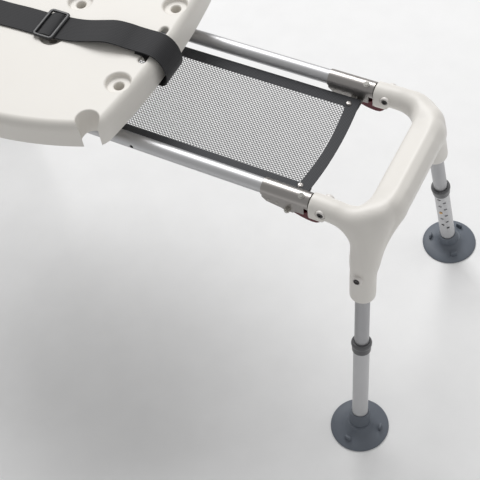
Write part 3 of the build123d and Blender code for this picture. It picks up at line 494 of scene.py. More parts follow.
# ---------------------------------------------------------------- end frames
def arm_line(side):
    """Centre line of one arm with its radius: along the rail, round the corner, down the leg."""
    spot, _, _ = leg_frame(1, side, 370 * MM)
    corner = Vector((0.5105, side * 0.130, 0.5005))
    mouth = Vector((MOUTH_X - 0.01, side * RAIL.y, 0.5005))
    reach = 0.058
    start = corner + (mouth - corner).normalized() * reach
    stop = corner + (spot - corner).normalized() * reach
    line = [(mouth, 0.0193)]
    for k in range(13):
        t = k / 12
        bend = (1 - t) ** 2 * start + 2 * t * (1 - t) * corner + t * t * stop
        line.append((bend, 0.0193 + 0.0022 * t))
    line.append((spot, 0.0218))
    return line


def cone_distance(points, a, b, radius_a, radius_b):
    """Distance from points to a round-ended bar whose radius changes along it."""
    way = np.array(b) - np.array(a)
    part = np.clip((points - np.array(a)) @ way / (way @ way), 0, 1)
    gap = points - np.array(a) - part[:, None] * way
    return np.linalg.norm(gap, axis=1) - (radius_a + (radius_b - radius_a) * part)


def outline_distance(x, y, outline):
    """Signed distance in a plane to a closed outline, negative inside."""
    best = np.full(x.shape, 1e9)
    inside = np.zeros(x.shape, bool)
    for (ax, ay), (bx, by) in zip(outline, outline[1:] + outline[:1]):
        ex = bx - ax
        ey = by - ay
        part = np.clip(((x - ax) * ex + (y - ay) * ey) / (ex * ex + ey * ey), 0, 1)
        best = np.minimum(best, np.hypot(x - ax - part * ex, y - ay - part * ey))
        if ey:
            crossing = (ay > y) != (by > y)
            inside ^= crossing & (x < ax + (y - ay) * ex / ey)
    return np.where(inside, -best, best)


def soft_join(a, b, reach):
    """Union of two distance fields with a fillet of about half the reach."""
    near = np.maximum(reach - np.abs(a - b), 0) / reach
    return np.minimum(a, b) - near * near * reach / 4


def frame_distance(points):
    """Distance field of one half of the right end frame, from the middle to its rear leg."""
    x, y, z = points.T
    field = None
    line = arm_line(1)
    for (a, radius_a), (b, radius_b) in zip(line, line[1:]):
        tube = cone_distance(points, a, b, radius_a, radius_b)
        field = tube if field is None else np.minimum(field, tube)
    across = np.abs(y - RAIL.y)
    rise = z - 0.5005
    round_top = np.hypot(across, rise) - 0.0193
    qx = across - 0.0128
    qz = -rise - 0.0122
    square = np.hypot(np.maximum(qx, 0), np.maximum(qz, 0)) + np.minimum(np.maximum(qx, qz), 0)
    mouth = np.maximum(np.where(rise > 0, round_top, square - 0.0065), x - 0.446)
    field = np.minimum(field, mouth)
    base, up, _ = leg_frame(1, 1, 340.6 * MM)
    rel = points - np.array(base)
    along = rel @ np.array(up)
    radial = np.linalg.norm(rel - along[:, None] * np.array(up), axis=1)
    qr = radial - 0.0138
    qh = np.abs(along - 0.032) - 0.0238
    socket = np.hypot(np.maximum(qr, 0), np.maximum(qh, 0)) + np.minimum(np.maximum(qr, qh), 0)
    field = np.minimum(field, socket - 0.0082)
    profile = [(0.5095, 0.4895), (0.5095, 0.5065), (0.526, 0.5115), (0.537, 0.5150), (0.547, 0.5110),
               (0.5575, 0.4995), (0.5550, 0.4830)]
    plan = [(0.480, -0.05), (0.5595, -0.05), (0.5595, 0.055), (0.549, 0.077), (0.5395, 0.094),
            (0.527, 0.108), (0.508, 0.119), (0.480, 0.124)]
    bar = -soft_join(-outline_distance(x, z, profile), -outline_distance(x, y, plan), 0.022)
    field = soft_join(field, bar - 0.0068, 0.036)
    web = np.minimum(cone_distance(points, (0.536, 0.086, 0.490), (0.5205, 0.138, 0.420), 0.0185, 0.014),
                     cone_distance(points, (0.527, 0.106, 0.492), (0.519, 0.141, 0.422), 0.019, 0.015))
    field = soft_join(field, web, 0.024)
    return np.maximum(field, MOUTH_X - x)


def surface_net(name, field, origin, step):
    """Quad mesh on the zero surface of a sampled distance field."""
    inside = field < 0
    shape = [n - 1 for n in field.shape]
    total = np.zeros(shape + [3])
    count = np.zeros(shape)
    crossings = []
    for axis in range(3):
        first = [slice(None)] * 3
        second = [slice(None)] * 3
        first[axis] = slice(0, -1)
        second[axis] = slice(1, None)
        a = field[tuple(first)]
        b = field[tuple(second)]
        cross = inside[tuple(first)] != inside[tuple(second)]
        crossings.append(cross)
        place = np.stack(np.indices(a.shape), -1).astype(float)
        place[..., axis] += np.where(cross, a / np.where(cross, a - b, 1), 0)
        others = [k for k in range(3) if k != axis]
        for du in (0, 1):
            for dv in (0, 1):
                cut = [slice(None)] * 3
                cut[others[0]] = slice(du, shape[others[0]] + du)
                cut[others[1]] = slice(dv, shape[others[1]] + dv)
                hit = cross[tuple(cut)]
                total += np.where(hit[..., None], place[tuple(cut)], 0)
                count += hit
    active = count > 0
    ids = np.full(shape, -1)
    ids[active] = np.arange(active.sum())
    verts = total[active] / count[active][:, None] * step + np.array(origin)
    faces = []
    for axis, cross in enumerate(crossings):
        others = [k for k in range(3) if k != axis]
        spots = np.argwhere(cross)
        keep = (spots[:, others[0]] > 0) & (spots[:, others[1]] > 0)
        keep &= (spots[:, others[0]] < shape[others[0]]) & (spots[:, others[1]] < shape[others[1]])
        spots = spots[keep]
        corners = []
        for du, dv in ((-1, -1), (0, -1), (0, 0), (-1, 0)):
            cell = spots.copy()
            cell[:, others[0]] += du
            cell[:, others[1]] += dv
            corners.append(ids[tuple(cell.T)])
        faces += np.stack(corners, 1).tolist()
    return mesh_object(name, verts, faces, 60.0)


def end_frame_solid():
    """Soft one-piece skin of the right end frame before it is bored."""
    step = 0.0022
    low = np.array((MOUTH_X - 0.006, 0.0, 0.334))
    counts = [int(math.ceil(c / step)) for c in (0.160, 0.186, 0.194)]
    grid = np.stack(np.meshgrid(*[np.arange(n) * step for n in counts], indexing="ij"), -1) + low
    half = frame_distance(grid.reshape(-1, 3)).reshape(counts)
    field = np.concatenate([half[:, :0:-1], half], axis=1)
    low[1] = -(counts[1] - 1) * step
    skin = surface_net("end_frame_right", field, low, step)
    ease = skin.modifiers.new("ease", "SMOOTH")
    ease.factor = 0.5
    ease.iterations = 6
    return tidy(bake_modifiers(skin), 60.0, merge=0)


def frame_bores(side):
    """Cutters of one arm: spigot bore, latch slot, leg bore and the four cap spots."""
    cutters = [
        lathe("bore", [(0, 0), (11.3 * MM, 0), (11.3 * MM, 60 * MM), (0, 60 * MM)],
              (MOUTH_X - 0.005, side * RAIL.y, RAIL.z), (1, 0, 0)),
        prism("slot", rounded_box_outline(21.2 * MM, 46 * MM, 4 * MM), (MOUTH_X + 0.015,
              side * RAIL.y, 0.471), (0, 1, 0), (0, 0, 1), 26 * MM),
    ]
    spot, up, _ = leg_frame(1, side, 325 * MM)
    cutters.append(lathe("leg", [(0, 0), (12.85 * MM, 0), (12.85 * MM, 95 * MM), (0, 95 * MM)],
                         spot, up))
    for place, axis, reach in bolt_lines(1, side):
        for out in (-1, 1):
            cutters.append(lathe("spot", [(0, reach), (8.9 * MM, reach), (8.9 * MM, reach + 0.02),
                                          (0, reach + 0.02)], place, axis * out))
    return cutters


def bolt_lines(end, side):
    """Place, outward axis and spot-face distance of the two bolts of one arm."""
    spot, _, inward = leg_frame(end, side, 398 * MM)
    out = Vector((0, side, 0))
    arm = Vector((end * 0.442, side * RAIL.y, RAIL.z))
    return (arm, out, 17.3 * MM), (spot, -inward, 24.6 * MM)


# ---------------------------------------------------------------- seat
def seat_outline():
    """Seat outline about its middle: four bowed edges with rounded corners, in metres."""
    corner = 0.034
    side_r = 1.170 - corner
    front_r = 0.570 - corner
    half_x = (SEAT_HIGH.x - SEAT_LOW.x) / 2 - corner
    half_y = (SEAT_HIGH.y - SEAT_LOW.y) / 2 - corner
    core = []
    for k in range(1440):
        turn = 2 * math.pi * k / 1440
        c = math.cos(turn)
        s = math.sin(turn)
        reach = 1.0
        for cx, cy, radius in ((half_x - side_r, 0, side_r), (side_r - half_x, 0, side_r),
                               (0, front_r - half_y, front_r), (0, half_y - front_r, front_r)):
            along = c * cx + s * cy
            reach = min(reach, along + math.sqrt(max(along ** 2 - cx ** 2 - cy ** 2
                                                     + radius ** 2, 0)))
        core.append((reach * c, reach * s))
    core = np.array(core)
    out = []
    for k in range(220):
        turn = 2 * math.pi * (k + 0.5) / 220
        way = np.array([math.cos(turn), math.sin(turn)])
        out.append(tuple(core[np.argmax(core @ way)] + corner * way))
    return out


def keyhole(hand):
    """Plan of one shower-head notch: a round pocket with a mouth that widens to the edge."""
    x = hand * NOTCH_X
    y = NOTCH_Y
    way = Vector((hand * math.sin(math.radians(35)), -math.cos(math.radians(35))))
    across = Vector((-way.y, way.x))
    base = math.degrees(math.atan2(way.y, way.x))
    out = arc(x, y, 0.0195, base + 44, base + 316, 20)
    for lateral, reach in ((-0.0139, 0.021), (-0.0148, 0.027), (-0.0185, 0.033), (-0.026, 0.040),
                           (-0.038, 0.058), (0.038, 0.058), (0.026, 0.040), (0.0185, 0.033),
                           (0.0148, 0.027), (0.0139, 0.021)):
        spot = Vector((x, y)) + way * reach + across * lateral
        out.append((spot.x, spot.y))
    return out


def flared(name, outline, low, top, flare, origin):
    """Cutter for a hole with a rounded upper lip."""
    rings = [(low, 0.0), (top - flare, 0.0), (top - 0.6 * flare, -0.08 * flare)]
    rings += [(top - 0.3 * flare, -0.3 * flare), (top - 0.08 * flare, -0.62 * flare)]
    rings += [(top, -flare), (top + 0.002, -flare)]
    return stack(name, outline, rings, origin)


def seat_solid():
    """Moulded seat: shell, recesses, drains, belt slots, notches and the ribs beneath."""
    low = SEAT_LOW.z
    top = SEAT_HIGH.z
    origin = (SEAT_X, 0, 0)
    outline = seat_outline()
    rings = [(top - 0.006, 0.009), (low, 0.009), (low, 0.0008), (low + 0.001, 0.0)]
    rings += [(top - 0.018 + 0.018 * math.sin(math.radians(a)),
               0.014 - 0.014 * math.cos(math.radians(a))) for a in range(0, 91, 9)]
    shell = stack("seat", outline, rings, origin)
    cutters = []
    extras = []
    for hand in (-1, 1):
        wall = arc(hand * NOTCH_X, NOTCH_Y, 0.0245, 0, 354, 59)
        boss = stack("notch_wall", wall, [(low + 0.0004, 0), (top - 0.004, 0)], origin)
        inner = [(low - 0.01, 0.001)] + [(z - 0.0005, inset + 0.001) for z, inset in rings[4:]]
        body = stack("inside", outline, inner, origin)
        boss = carve(boss, [body], "INTERSECT")
        shell = carve(shell, [boss], "UNION")
        cutters.append(flared("notch", keyhole(hand), low - 0.01, top, 0.0022, origin))
        slot = rounded_box_outline(0.013, 0.088, 0.0064, 8, hand * 0.239, 0)
        cutters.append(flared("slot", slot, low - 0.01, top, 0.003, origin))
    for x, y in [(sx * 0.227, sy * 0.096) for sx in (-1, 1) for sy in (-1, 1)] + \
                [(sx * 0.066, sy * 0.045) for sx in (-1, 1) for sy in (-1, 1)]:
        ring = arc(x, y, 0.0208, 0, 351, 39)
        cutters.append(flared("recess", ring, top - 0.012, top, 0.0035, origin))
        cup = [(0.0088, low + 0.0036), (0.0245, low + 0.0036), (0.0245, top - 0.0045),
               (0.0212, top - 0.0045), (0.0206, top - 0.0070), (0.0186, top - 0.0086),
               (0.0102, top - 0.0092), (0.0088, top - 0.0104)]
        extras.append(lathe("cup", cup, (SEAT_X + x, y, 0), (0, 0, 1), closed=True, steps=48))
    shell = carve(shell, cutters)
    edge = np.array(outline)
    for k in range(-2, 3):
        offset = k * LONG_RIB_PITCH
        reach = min(float(np.max(edge[np.abs(edge[:, 1] - offset) < 0.02][:, 0])) - 0.012, 0.226)
        if k == -2:
            reach = 0.190
        rib = rounded_box_outline(2 * reach, 0.004, 0.001, 2, 0, offset)
        extras.append(stack("rib", rib, [(low + 0.0036, 0), (top - 0.0055, 0)], origin))
    for k in range(-2, 4):
        offset = (k - 0.5) * CROSS_RIB_PITCH
        reach = float(np.max(edge[np.abs(edge[:, 0] - offset) < 0.02][:, 1])) - 0.014
        rib = rounded_box_outline(0.004, 2 * reach, 0.001, 2, offset, 0)
        extras.append(stack("rib", rib, [(low + 0.0036, 0), (top - 0.0055, 0)], origin))
    for sx in (-1, 1):
        for sy in (-1, 1):
            boss = [(0.00296, low + 0.0036), (0.0068, low + 0.0036), (0.0074, top - 0.0055),
                    (0.00296, top - 0.0055)]
            extras.append(lathe("boss", boss, (SEAT_X + sx * 0.085, sy * 0.085, 0), (0, 0, 1),
                                closed=True, steps=24))
    return join("seat_moulding", [shell] + extras)


# ---------------------------------------------------------------- net
def net_height(y):
    """Height of the net's middle surface."""
    across = 1 - min(abs(y) / NET_HIGH.y, 1) ** 2
    return NET_HIGH.z - 0.0012 - (NET_HIGH.z - NET_LOW.z - 0.003) * across


def net_edge_x(y):
    """How far along the rails the net's end reaches at a distance across."""
    return NET_HIGH.x + 0.005 - 0.005 * (min(abs(y) / NET_HIGH.y, 1)) ** 2


def net_border():
    """Folded tape round the net, with its outer edge soft and rounded."""
    half_y = NET_HIGH.y + 0.003
    steps = []
    for k in range(40):
        steps.append((-1 + k / 20, -1.0))
    for k in range(12):
        steps.append((1.0, -1 + k / 6))
    for k in range(40):
        steps.append((1 - k / 20, 1.0))
    for k in range(12):
        steps.append((-1.0, 1 - k / 6))
    verts = []
    for a, b in steps:
        outer = Vector((a * net_edge_x(b * half_y), b * half_y))
        inner = Vector((a * (net_edge_x(b * half_y) - BORDER_WIDTH), b * (half_y - BORDER_WIDTH)))
        for t, lift in ((0, 0.0), (0.03, 0.0009), (0.3, 0.0011), (0.9, 0.0010), (1, 0.0007),
                        (1, -0.0007), (0.9, -0.0010), (0.3, -0.0011), (0.03, -0.0009)):
            spot = outer.lerp(inner, t)
            verts.append((spot.x, spot.y, net_height(spot.y) + lift))
    count = len(steps)
    faces = []
    for i in range(count):
        j = (i + 1) % count
        for k in range(9):
            n = (k + 1) % 9
            faces.append((i * 9 + k, i * 9 + n, j * 9 + n, j * 9 + k))
    border = mesh_object("net_border", verts, faces, 50)
    layer = border.data.uv_layers.new(name="UVMap")
    for loop in border.data.loops:
        spot = border.data.vertices[loop.vertex_index].co
        layer.data[loop.index].uv = (spot.x, spot.y)
    return border


def net_strands():
    """Open diamond mesh inside the border, strand by strand, thickened by Geometry Nodes."""
    half_x = NET_HIGH.x - 0.017
    half_y = NET_HIGH.y - 0.0165
    pitch = STRAND_PITCH * math.sqrt(2)
    verts = []
    edges = []
    for hand in (-1, 1):
        count = int((half_x + half_y) / pitch)
        for k in range(-count, count + 1):
            offset = k * pitch
            low = max(-half_y, (-half_x - offset) * hand if hand > 0 else (offset - half_x))
            high = min(half_y, (half_x - offset) * hand if hand > 0 else (offset + half_x))
            if high - low < 0.003:
                continue
            parts = max(int((high - low) / 0.018), 2)
            for n in range(parts + 1):
                y = low + (high - low) * n / parts
                x = offset + hand * y
                verts.append((x, y, net_height(y) + hand * 0.00025))
                if n:
                    edges.append((len(verts) - 2, len(verts) - 1))
    cloud = bpy.data.meshes.new("net_strands")
    cloud.from_pydata(verts, edges, [])
    thing = bpy.data.objects.new("net_strands", cloud)
    bpy.context.scene.collection.objects.link(thing)
    tree = bpy.data.node_groups.new("net strands", "GeometryNodeTree")
    tree.interface.new_socket("Geometry", in_out="INPUT", socket_type="NodeSocketGeometry")
    gauge = tree.interface.new_socket("Strand radius", in_out="INPUT",
                                      socket_type="NodeSocketFloat")
    tree.interface.new_socket("Geometry", in_out="OUTPUT", socket_type="NodeSocketGeometry")
    entry = tree.nodes.new("NodeGroupInput")
    leave = tree.nodes.new("NodeGroupOutput")
    line = tree.nodes.new("GeometryNodeMeshToCurve")
    round_one = tree.nodes.new("GeometryNodeCurvePrimitiveCircle")
    round_one.inputs["Resolution"].default_value = 5
    tube = tree.nodes.new("GeometryNodeCurveToMesh")
    tube.inputs["Fill Caps"].default_value = True
    real = tree.nodes.new("GeometryNodeRealizeInstances")
    coat = tree.nodes.new("GeometryNodeSetMaterial")
    coat.inputs["Material"].default_value = finishes()["net_fabric"]
    tree.links.new(entry.outputs["Geometry"], line.inputs["Mesh"])
    tree.links.new(entry.outputs["Strand radius"], round_one.inputs["Radius"])
    tree.links.new(line.outputs["Curve"], tube.inputs["Curve"])
    tree.links.new(round_one.outputs["Curve"], tube.inputs["Profile Curve"])
    tree.links.new(tube.outputs["Mesh"], real.inputs["Geometry"])
    tree.links.new(real.outputs["Geometry"], coat.inputs["Geometry"])
    tree.links.new(coat.outputs["Geometry"], leave.inputs["Geometry"])
    step = thing.modifiers.new("strands", "NODES")
    step.node_group = tree
    step[gauge.identifier] = STRAND_R
    bake_modifiers(thing)
    return tidy(thing, 80.0, merge=0)


# ---------------------------------------------------------------- belt
def ribbon(name, path, width, thick):
    """Flat strap along a path, with rounded edges and its weave laid out on the UVs in metres."""
    half = width / 2
    t = thick / 2
    section = [(-half, 0), (-half + 0.0008, t), (-half * 0.5, t), (0, t), (half * 0.5, t),
               (half - 0.0008, t), (half, 0), (half - 0.0008, -t), (0, -t), (-half + 0.0008, -t)]
    verts = []
    marks = []
    run = 0.0
    for i, point in enumerate(path):
        here = Vector(point)
        before = Vector(path[max(i - 1, 0)])
        after = Vector(path[min(i + 1, len(path) - 1)])
        forward = (after - before).normalized()
        run += (here - before).length
        across = Vector((0, 1, 0))
        across = (across - forward * across.dot(forward)).normalized()
        up = forward.cross(across)
        for w, h in section:
            verts.append(here + across * w + up * h)
            marks.append((w, run))
    count = len(section)
    faces = [list(range(count)), [len(verts) - count + k for k in range(count)]]
    for i in range(len(path) - 1):
        for k in range(count):
            n = (k + 1) % count
            faces.append((i * count + k, i * count + n, (i + 1) * count + n, (i + 1) * count + k))
    mesh = bpy.data.meshes.new(name)
    mesh.from_pydata([tuple(v) for v in verts], [], faces)
    thing = bpy.data.objects.new(name, mesh)
    bpy.context.scene.collection.objects.link(thing)
    layer = mesh.uv_layers.new(name="UVMap")
    for loop in mesh.loops:
        layer.data[loop.index].uv = marks[loop.vertex_index]
    return tidy(thing, 40.0, merge=0)


def curve_through(points, steps=6):
    """Smooth line through points (Catmull-Rom)."""
    spots = [Vector(p) for p in points]
    out = []
    for i in range(len(spots) - 1):
        a = spots[max(i - 1, 0)]
        b = spots[i]
        c = spots[i + 1]
        d = spots[min(i + 2, len(spots) - 1)]
        for k in range(steps):
            t = k / steps
            out.append(0.5 * (2 * b + (c - a) * t + (2 * a - 5 * b + 4 * c - d) * t * t
                              + (3 * b - a - 3 * c + d) * t ** 3))
    out.append(spots[-1])
    return out


def belt_path(end, run):
    """Line of one belt half: down through the slot, round the seat's edge and over the top."""
    loop = [(221, 0.4), (229, 0.2), (236, -1.5), (239, -9), (239, -42), (242.5, -53), (251, -59.5),
            (263, -60.5), (272, -53), (276, -39), (275, -25), (270.5, -11), (262.5, -0.5),
            (253, 5), (240, 6.8), (224, 6.4)]
    points = [(end * x, -5, z) for x, z in loop] + list(run)
    top = SEAT_TOP + 0.0017
    return [(SEAT_X + x * MM, y * MM, top + z * MM) for x, y, z in points]


# ---------------------------------------------------------------- legs
def leg_collar(corner, end, side):
    """Soft collar on the lower tube's open end, with its rounded lip and the groove below it."""
    spot, up, _ = leg_frame(end, side, 211 * MM)
    profile = [(14.32, 0), (15.8, 0), (16.3, 0.5), (16.5, 2), (16.9, 11), (16.9, 12.6),
               (17.3, 13.6), (17.9, 14.8), (18.05, 16.6), (18.0, 18.6), (17.6, 20.4),
               (16.8, 21.9), (15.6, 22.7), (14.3, 22.8), (13.4, 22.3), (12.95, 21.2),
               (12.95, 20.6), (14.32, 20.4)]
    profile = [(r * MM, h * MM) for r, h in profile]
    return lathe(f"collar_{corner}", profile, spot, up, closed=True, steps=56)


def suction_foot(corner, end, side):
    """Rubber foot: cupped rim, domed top, tilted hub and three release tabs."""
    base = Vector((end * abs(FOOT.x), side * abs(FOOT.y), 0))
    r = FOOT_R * 1000
    disc = [(0, 4.5), (r - 26, 3.6), (r - 12, 2.6), (r - 4, 0), (r - 1.2, 0), (r - 0.3, 0.6),
            (r, 1.6), (r - 0.3, 2.6), (r - 1.3, 3.5), (r - 3, 4.4), (r - 8, 6.4), (r - 14, 8.0),
            (r - 21, 9.8), (28, 12.5), (24.5, 15.5), (22.0, 19.0), (20.0, 22), (0, 22)]
    parts = [lathe("disc", [(a * MM, b * MM) for a, b in disc], base, (0, 0, 1), steps=96)]
    spot, up, _ = leg_frame(end, side, 12.9 * MM)
    hub = [(14.35, 0), (20.4, 0), (20.1, 6), (19.2, 14), (18.3, 22), (17.6, 28.5), (17.2, 30.4),
           (16.5, 31.4), (15.4, 31.6), (14.7, 31.2), (14.35, 30.2)]
    parts.append(lathe("hub", [(a * MM, b * MM) for a, b in hub], spot, up, closed=True,
                       steps=64))
    for k in range(3):
        turn = math.radians(end * side * 90 - 10 + 120 * k - (0, 9, 16)[k])
        out = Vector((math.cos(turn), math.sin(turn), 0))
        along = Vector((-out.y, out.x, 0))
        place = base + out * (FOOT_R - 15 * MM) + Vector((0, 0, 3.5 * MM))
        tab = [(-6.5, 0), (6.5, 0), (6.4, 11), (5.2, 13.2), (3, 14), (-3, 14), (-5.2, 13.2),
               (-6.4, 11)]
        tab = soften([(a * MM, b * MM) for a, b in tab], 2 * MM, 3)
        parts.append(prism("tab", tab, place, along, (0, 0, 1), 2.25 * MM, 0.9 * MM))
    return join(f"foot_{corner}", parts)


# ---------------------------------------------------------------- fasteners
def latch_lever(corner, end, side):
    """Moulded latch lever with soft edges, hooked on its stud and hung in the arm's mouth."""
    outline = [(377.4, 486.3), (377.7, 480.4), (384, 475.8), (392, 471.9), (402, 468.2),
               (412, 465.6), (422, 464.4), (430, 465.6), (435, 469.5), (440.5, 476),
               (440.8, 487.6), (439, 491), (425, 491.3), (416, 486), (408, 481.5), (398, 481), (391, 483.2),
               (386.6, 484.6), (386.6, 482.9), (384.6, 481.7), (381.4, 481.7), (379.6, 483.4)]
    flat = [(end * x * MM, z * MM) for x, z in outline]
    return prism(f"latch_{corner}_skin", soften(flat, 1.2 * MM, 2), (0, side * RAIL.y, 0),
                 (1, 0, 0), (0, 0, 1), 9.7 * MM, 1.3 * MM)


def cap_shape():
    """Raised cap washer, its flange lying in the moulding's spot face."""
    profile = [(0, -4.4), (8.4, -4.4), (8.4, 0.7), (8.2, 1.6), (7.6, 2.5), (6.7, 3.0), (6.0, 3.0),
               (5.5, 2.6), (5.2, 2.0), (0, 2.0)]
    cap = lathe("cap_shape", [(r * MM, h * MM) for r, h in profile], (0, 0, 0), (0, 0, 1),
                steps=32)
    cap.data.materials.append(finishes()["cap_plastic"])
    return cap


def hex_screw_shape():
    """Socket head of an end-frame bolt with its six-sided recess."""
    rings = [(4.9, 1.4), (4.9, 3.0), (4.6, 3.5), (2.9, 3.5)]
    verts = []
    for radius, height in rings[:3]:
        verts += [(radius * MM * math.cos(math.pi * k / 12), radius * MM * math.sin(math.pi * k / 12),
                   height * MM) for k in range(24)]
    for height in (3.5, 2.0):
        for k in range(24):
            turn = math.pi * k / 12
            flat = math.pi / 6
            reach = 2.5 * math.cos(flat) / math.cos((turn % (2 * flat)) - flat)
            verts.append((reach * MM * math.cos(turn), reach * MM * math.sin(turn), height * MM))
    faces = [[k for k in range(24)], [96 + k for k in range(24)]]
    for i in range(4):
        for k in range(24):
            n = (k + 1) % 24
            faces.append((i * 24 + k, i * 24 + n, (i + 1) * 24 + n, (i + 1) * 24 + k))
    screw = mesh_object("hex_shape", verts, faces)
    screw.data.materials.append(finishes()["socket_dark"])
    return screw


def cross_screw_shape(name, radius, height, slot, material):
    """Domed screw head with a cross recess."""
    dome = [(0, 0), (radius, 0), (radius, 0.35 * height), (0.93 * radius, 0.62 * height),
            (0.75 * radius, 0.85 * height), (0.45 * radius, 0.97 * height), (0, height)]
    head = lathe(name, dome, (0, 0, 0), (0, 0, 1), steps=24)
    cutters = []
    for long, wide in ((slot, 0.24 * slot), (0.241 * slot, 1.001 * slot)):
        outline = rounded_box_outline(long, wide, 0.1 * slot, 2)
        cutters.append(stack("cross", outline, [(0.45 * height, 0), (1.2 * height, 0)]))
    head = carve(head, cutters)
    head.data.materials.append(finishes()[material])
    return head


def islands(node):
    """Boxes of a CAD node's separate solids, as (low, high)."""
    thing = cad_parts[node]
    mesh = bmesh.new()
    mesh.from_mesh(thing.data)
    mesh.transform(thing.matrix_world)
    bmesh.ops.remove_doubles(mesh, verts=mesh.verts, dist=1e-6)
    mesh.verts.ensure_lookup_table()
    seen = set()
    out = []
    for start in mesh.verts:
        if start.index in seen:
            continue
        seen.add(start.index)
        queue = [start]
        spots = []
        while queue:
            here = queue.pop()
            spots.append(here.co.copy())
            for edge in here.link_edges:
                other = edge.other_vert(here)
                if other.index not in seen:
                    seen.add(other.index)
                    queue.append(other)
        low = Vector([min(s[i] for s in spots) for i in range(3)])
        high = Vector([max(s[i] for s in spots) for i in range(3)])
        out.append((low, high))
    mesh.free()
    return out


# ---------------------------------------------------------------- camera and stage
def aim_light(name, place, target, power, size):
    """Large soft area light turned towards a point."""
    lamp = bpy.data.lights.new(name, "AREA")
    lamp.shape = "RECTANGLE"
    lamp.size = size
    lamp.size_y = size
    lamp.energy = power
    thing = bpy.data.objects.new(name, lamp)
    thing.location = place
    thing.rotation_euler = (Vector(target) - Vector(place)).to_track_quat("-Z", "Y").to_euler()
    bpy.context.scene.collection.objects.link(thing)
    return thing


def make_camera(location, azimuth, elevation, roll, lens):
    """Camera from a place and three angles in radians."""
    back = Vector((math.sin(azimuth) * math.cos(elevation),
                   -math.cos(azimuth) * math.cos(elevation), math.sin(elevation)))
    right = Vector((math.cos(azimuth), math.sin(azimuth), 0))
    up = back.cross(right)
    x = right * math.cos(roll) + up * math.sin(roll)
    y = up * math.cos(roll) - right * math.sin(roll)
    data = bpy.data.cameras.new("camera")
    data.lens = lens
    data.sensor_width = 36
    thing = bpy.data.objects.new("camera", data)
    turn = Matrix((x, y, back)).transposed().to_4x4()
    thing.matrix_world = Matrix.Translation(location) @ turn
    bpy.context.scene.collection.objects.link(thing)
    bpy.context.scene.camera = thing
    return thing


# ---------------------------------------------------------------- settings
class BENCH_PG_frames(bpy.types.PropertyGroup):
    """Settings of the moulded end frames."""
    proud: bpy.props.FloatProperty(name="Cap stand-off", description="Height of caps off seats",
                                   default=0.00002, unit="LENGTH", subtype="DISTANCE")


class BENCH_PG_belt(bpy.types.PropertyGroup):
    """Settings of the seat belt."""
    width: bpy.props.FloatProperty(name="Width", description="Width of the webbing",
                                   default=0.054, unit="LENGTH", subtype="DISTANCE")
    thick: bpy.props.FloatProperty(name="Thickness", description="Thickness of the webbing",
                                   default=0.0022, unit="LENGTH", subtype="DISTANCE")


class BENCH_PG_stage(bpy.types.PropertyGroup):
    """Settings of the camera and lights."""
    azimuth: bpy.props.FloatProperty(name="Azimuth", description="Camera turn round the bench",
                                     default=math.radians(35.05), unit="ROTATION",
                                     subtype="ANGLE")
    elevation: bpy.props.FloatProperty(name="Elevation", description="Camera height angle",
                                       default=math.radians(54.17), unit="ROTATION",
                                       subtype="ANGLE")
    roll: bpy.props.FloatProperty(name="Roll", description="Camera roll",
                                  default=math.radians(-9.63), unit="ROTATION", subtype="ANGLE")
    lens: bpy.props.FloatProperty(name="Lens", description="Focal length in millimetres",
                                  default=84.6)
    key: bpy.props.FloatProperty(name="Key light", description="Power of the main light in watts",
                                 default=290.0)


# ---------------------------------------------------------------- operators
class BENCH_OT_end_frames(bpy.types.Operator):
    """Build both moulded end frames with their bores and cap seats."""
    bl_idname = "bench.end_frames"
    bl_label = "End frames"

    def execute(self, context):
        cream = finishes()["frame_plastic"]
        right = end_frame_solid()
        cutters = frame_bores(-1) + frame_bores(1)
        right = carve(right, cutters, sharp=50.0)
        left = mirrored(right, "end_frame_left_skin")
        right.name = "end_frame_right_skin"
        settle(right, "bench_frame", cream, "frame_plastic", "end_frame_right")
        settle(left, "bench_frame", cream, "frame_plastic", "end_frame_left")
        return {"FINISHED"}


class BENCH_OT_seat(bpy.types.Operator):
    """Build the moulded seat."""
    bl_idname = "bench.seat"
    bl_label = "Seat"

    def execute(self, context):
        settle(seat_solid(), "seat", finishes()["seat_plastic"], "seat_plastic", "seat")
        return {"FINISHED"}


class BENCH_OT_net(bpy.types.Operator):
    """Build the net, its strands and its border tape."""
    bl_idname = "bench.net"
    bl_label = "Net"

    def execute(self, context):
        made = finishes()
        strands = net_strands()
        border = net_border()
        settle(strands, "bench_frame", made["net_fabric"], "net_fabric", "net_panel")
        settle(border, "bench_frame", made["net_border"], "net_fabric")
        return {"FINISHED"}


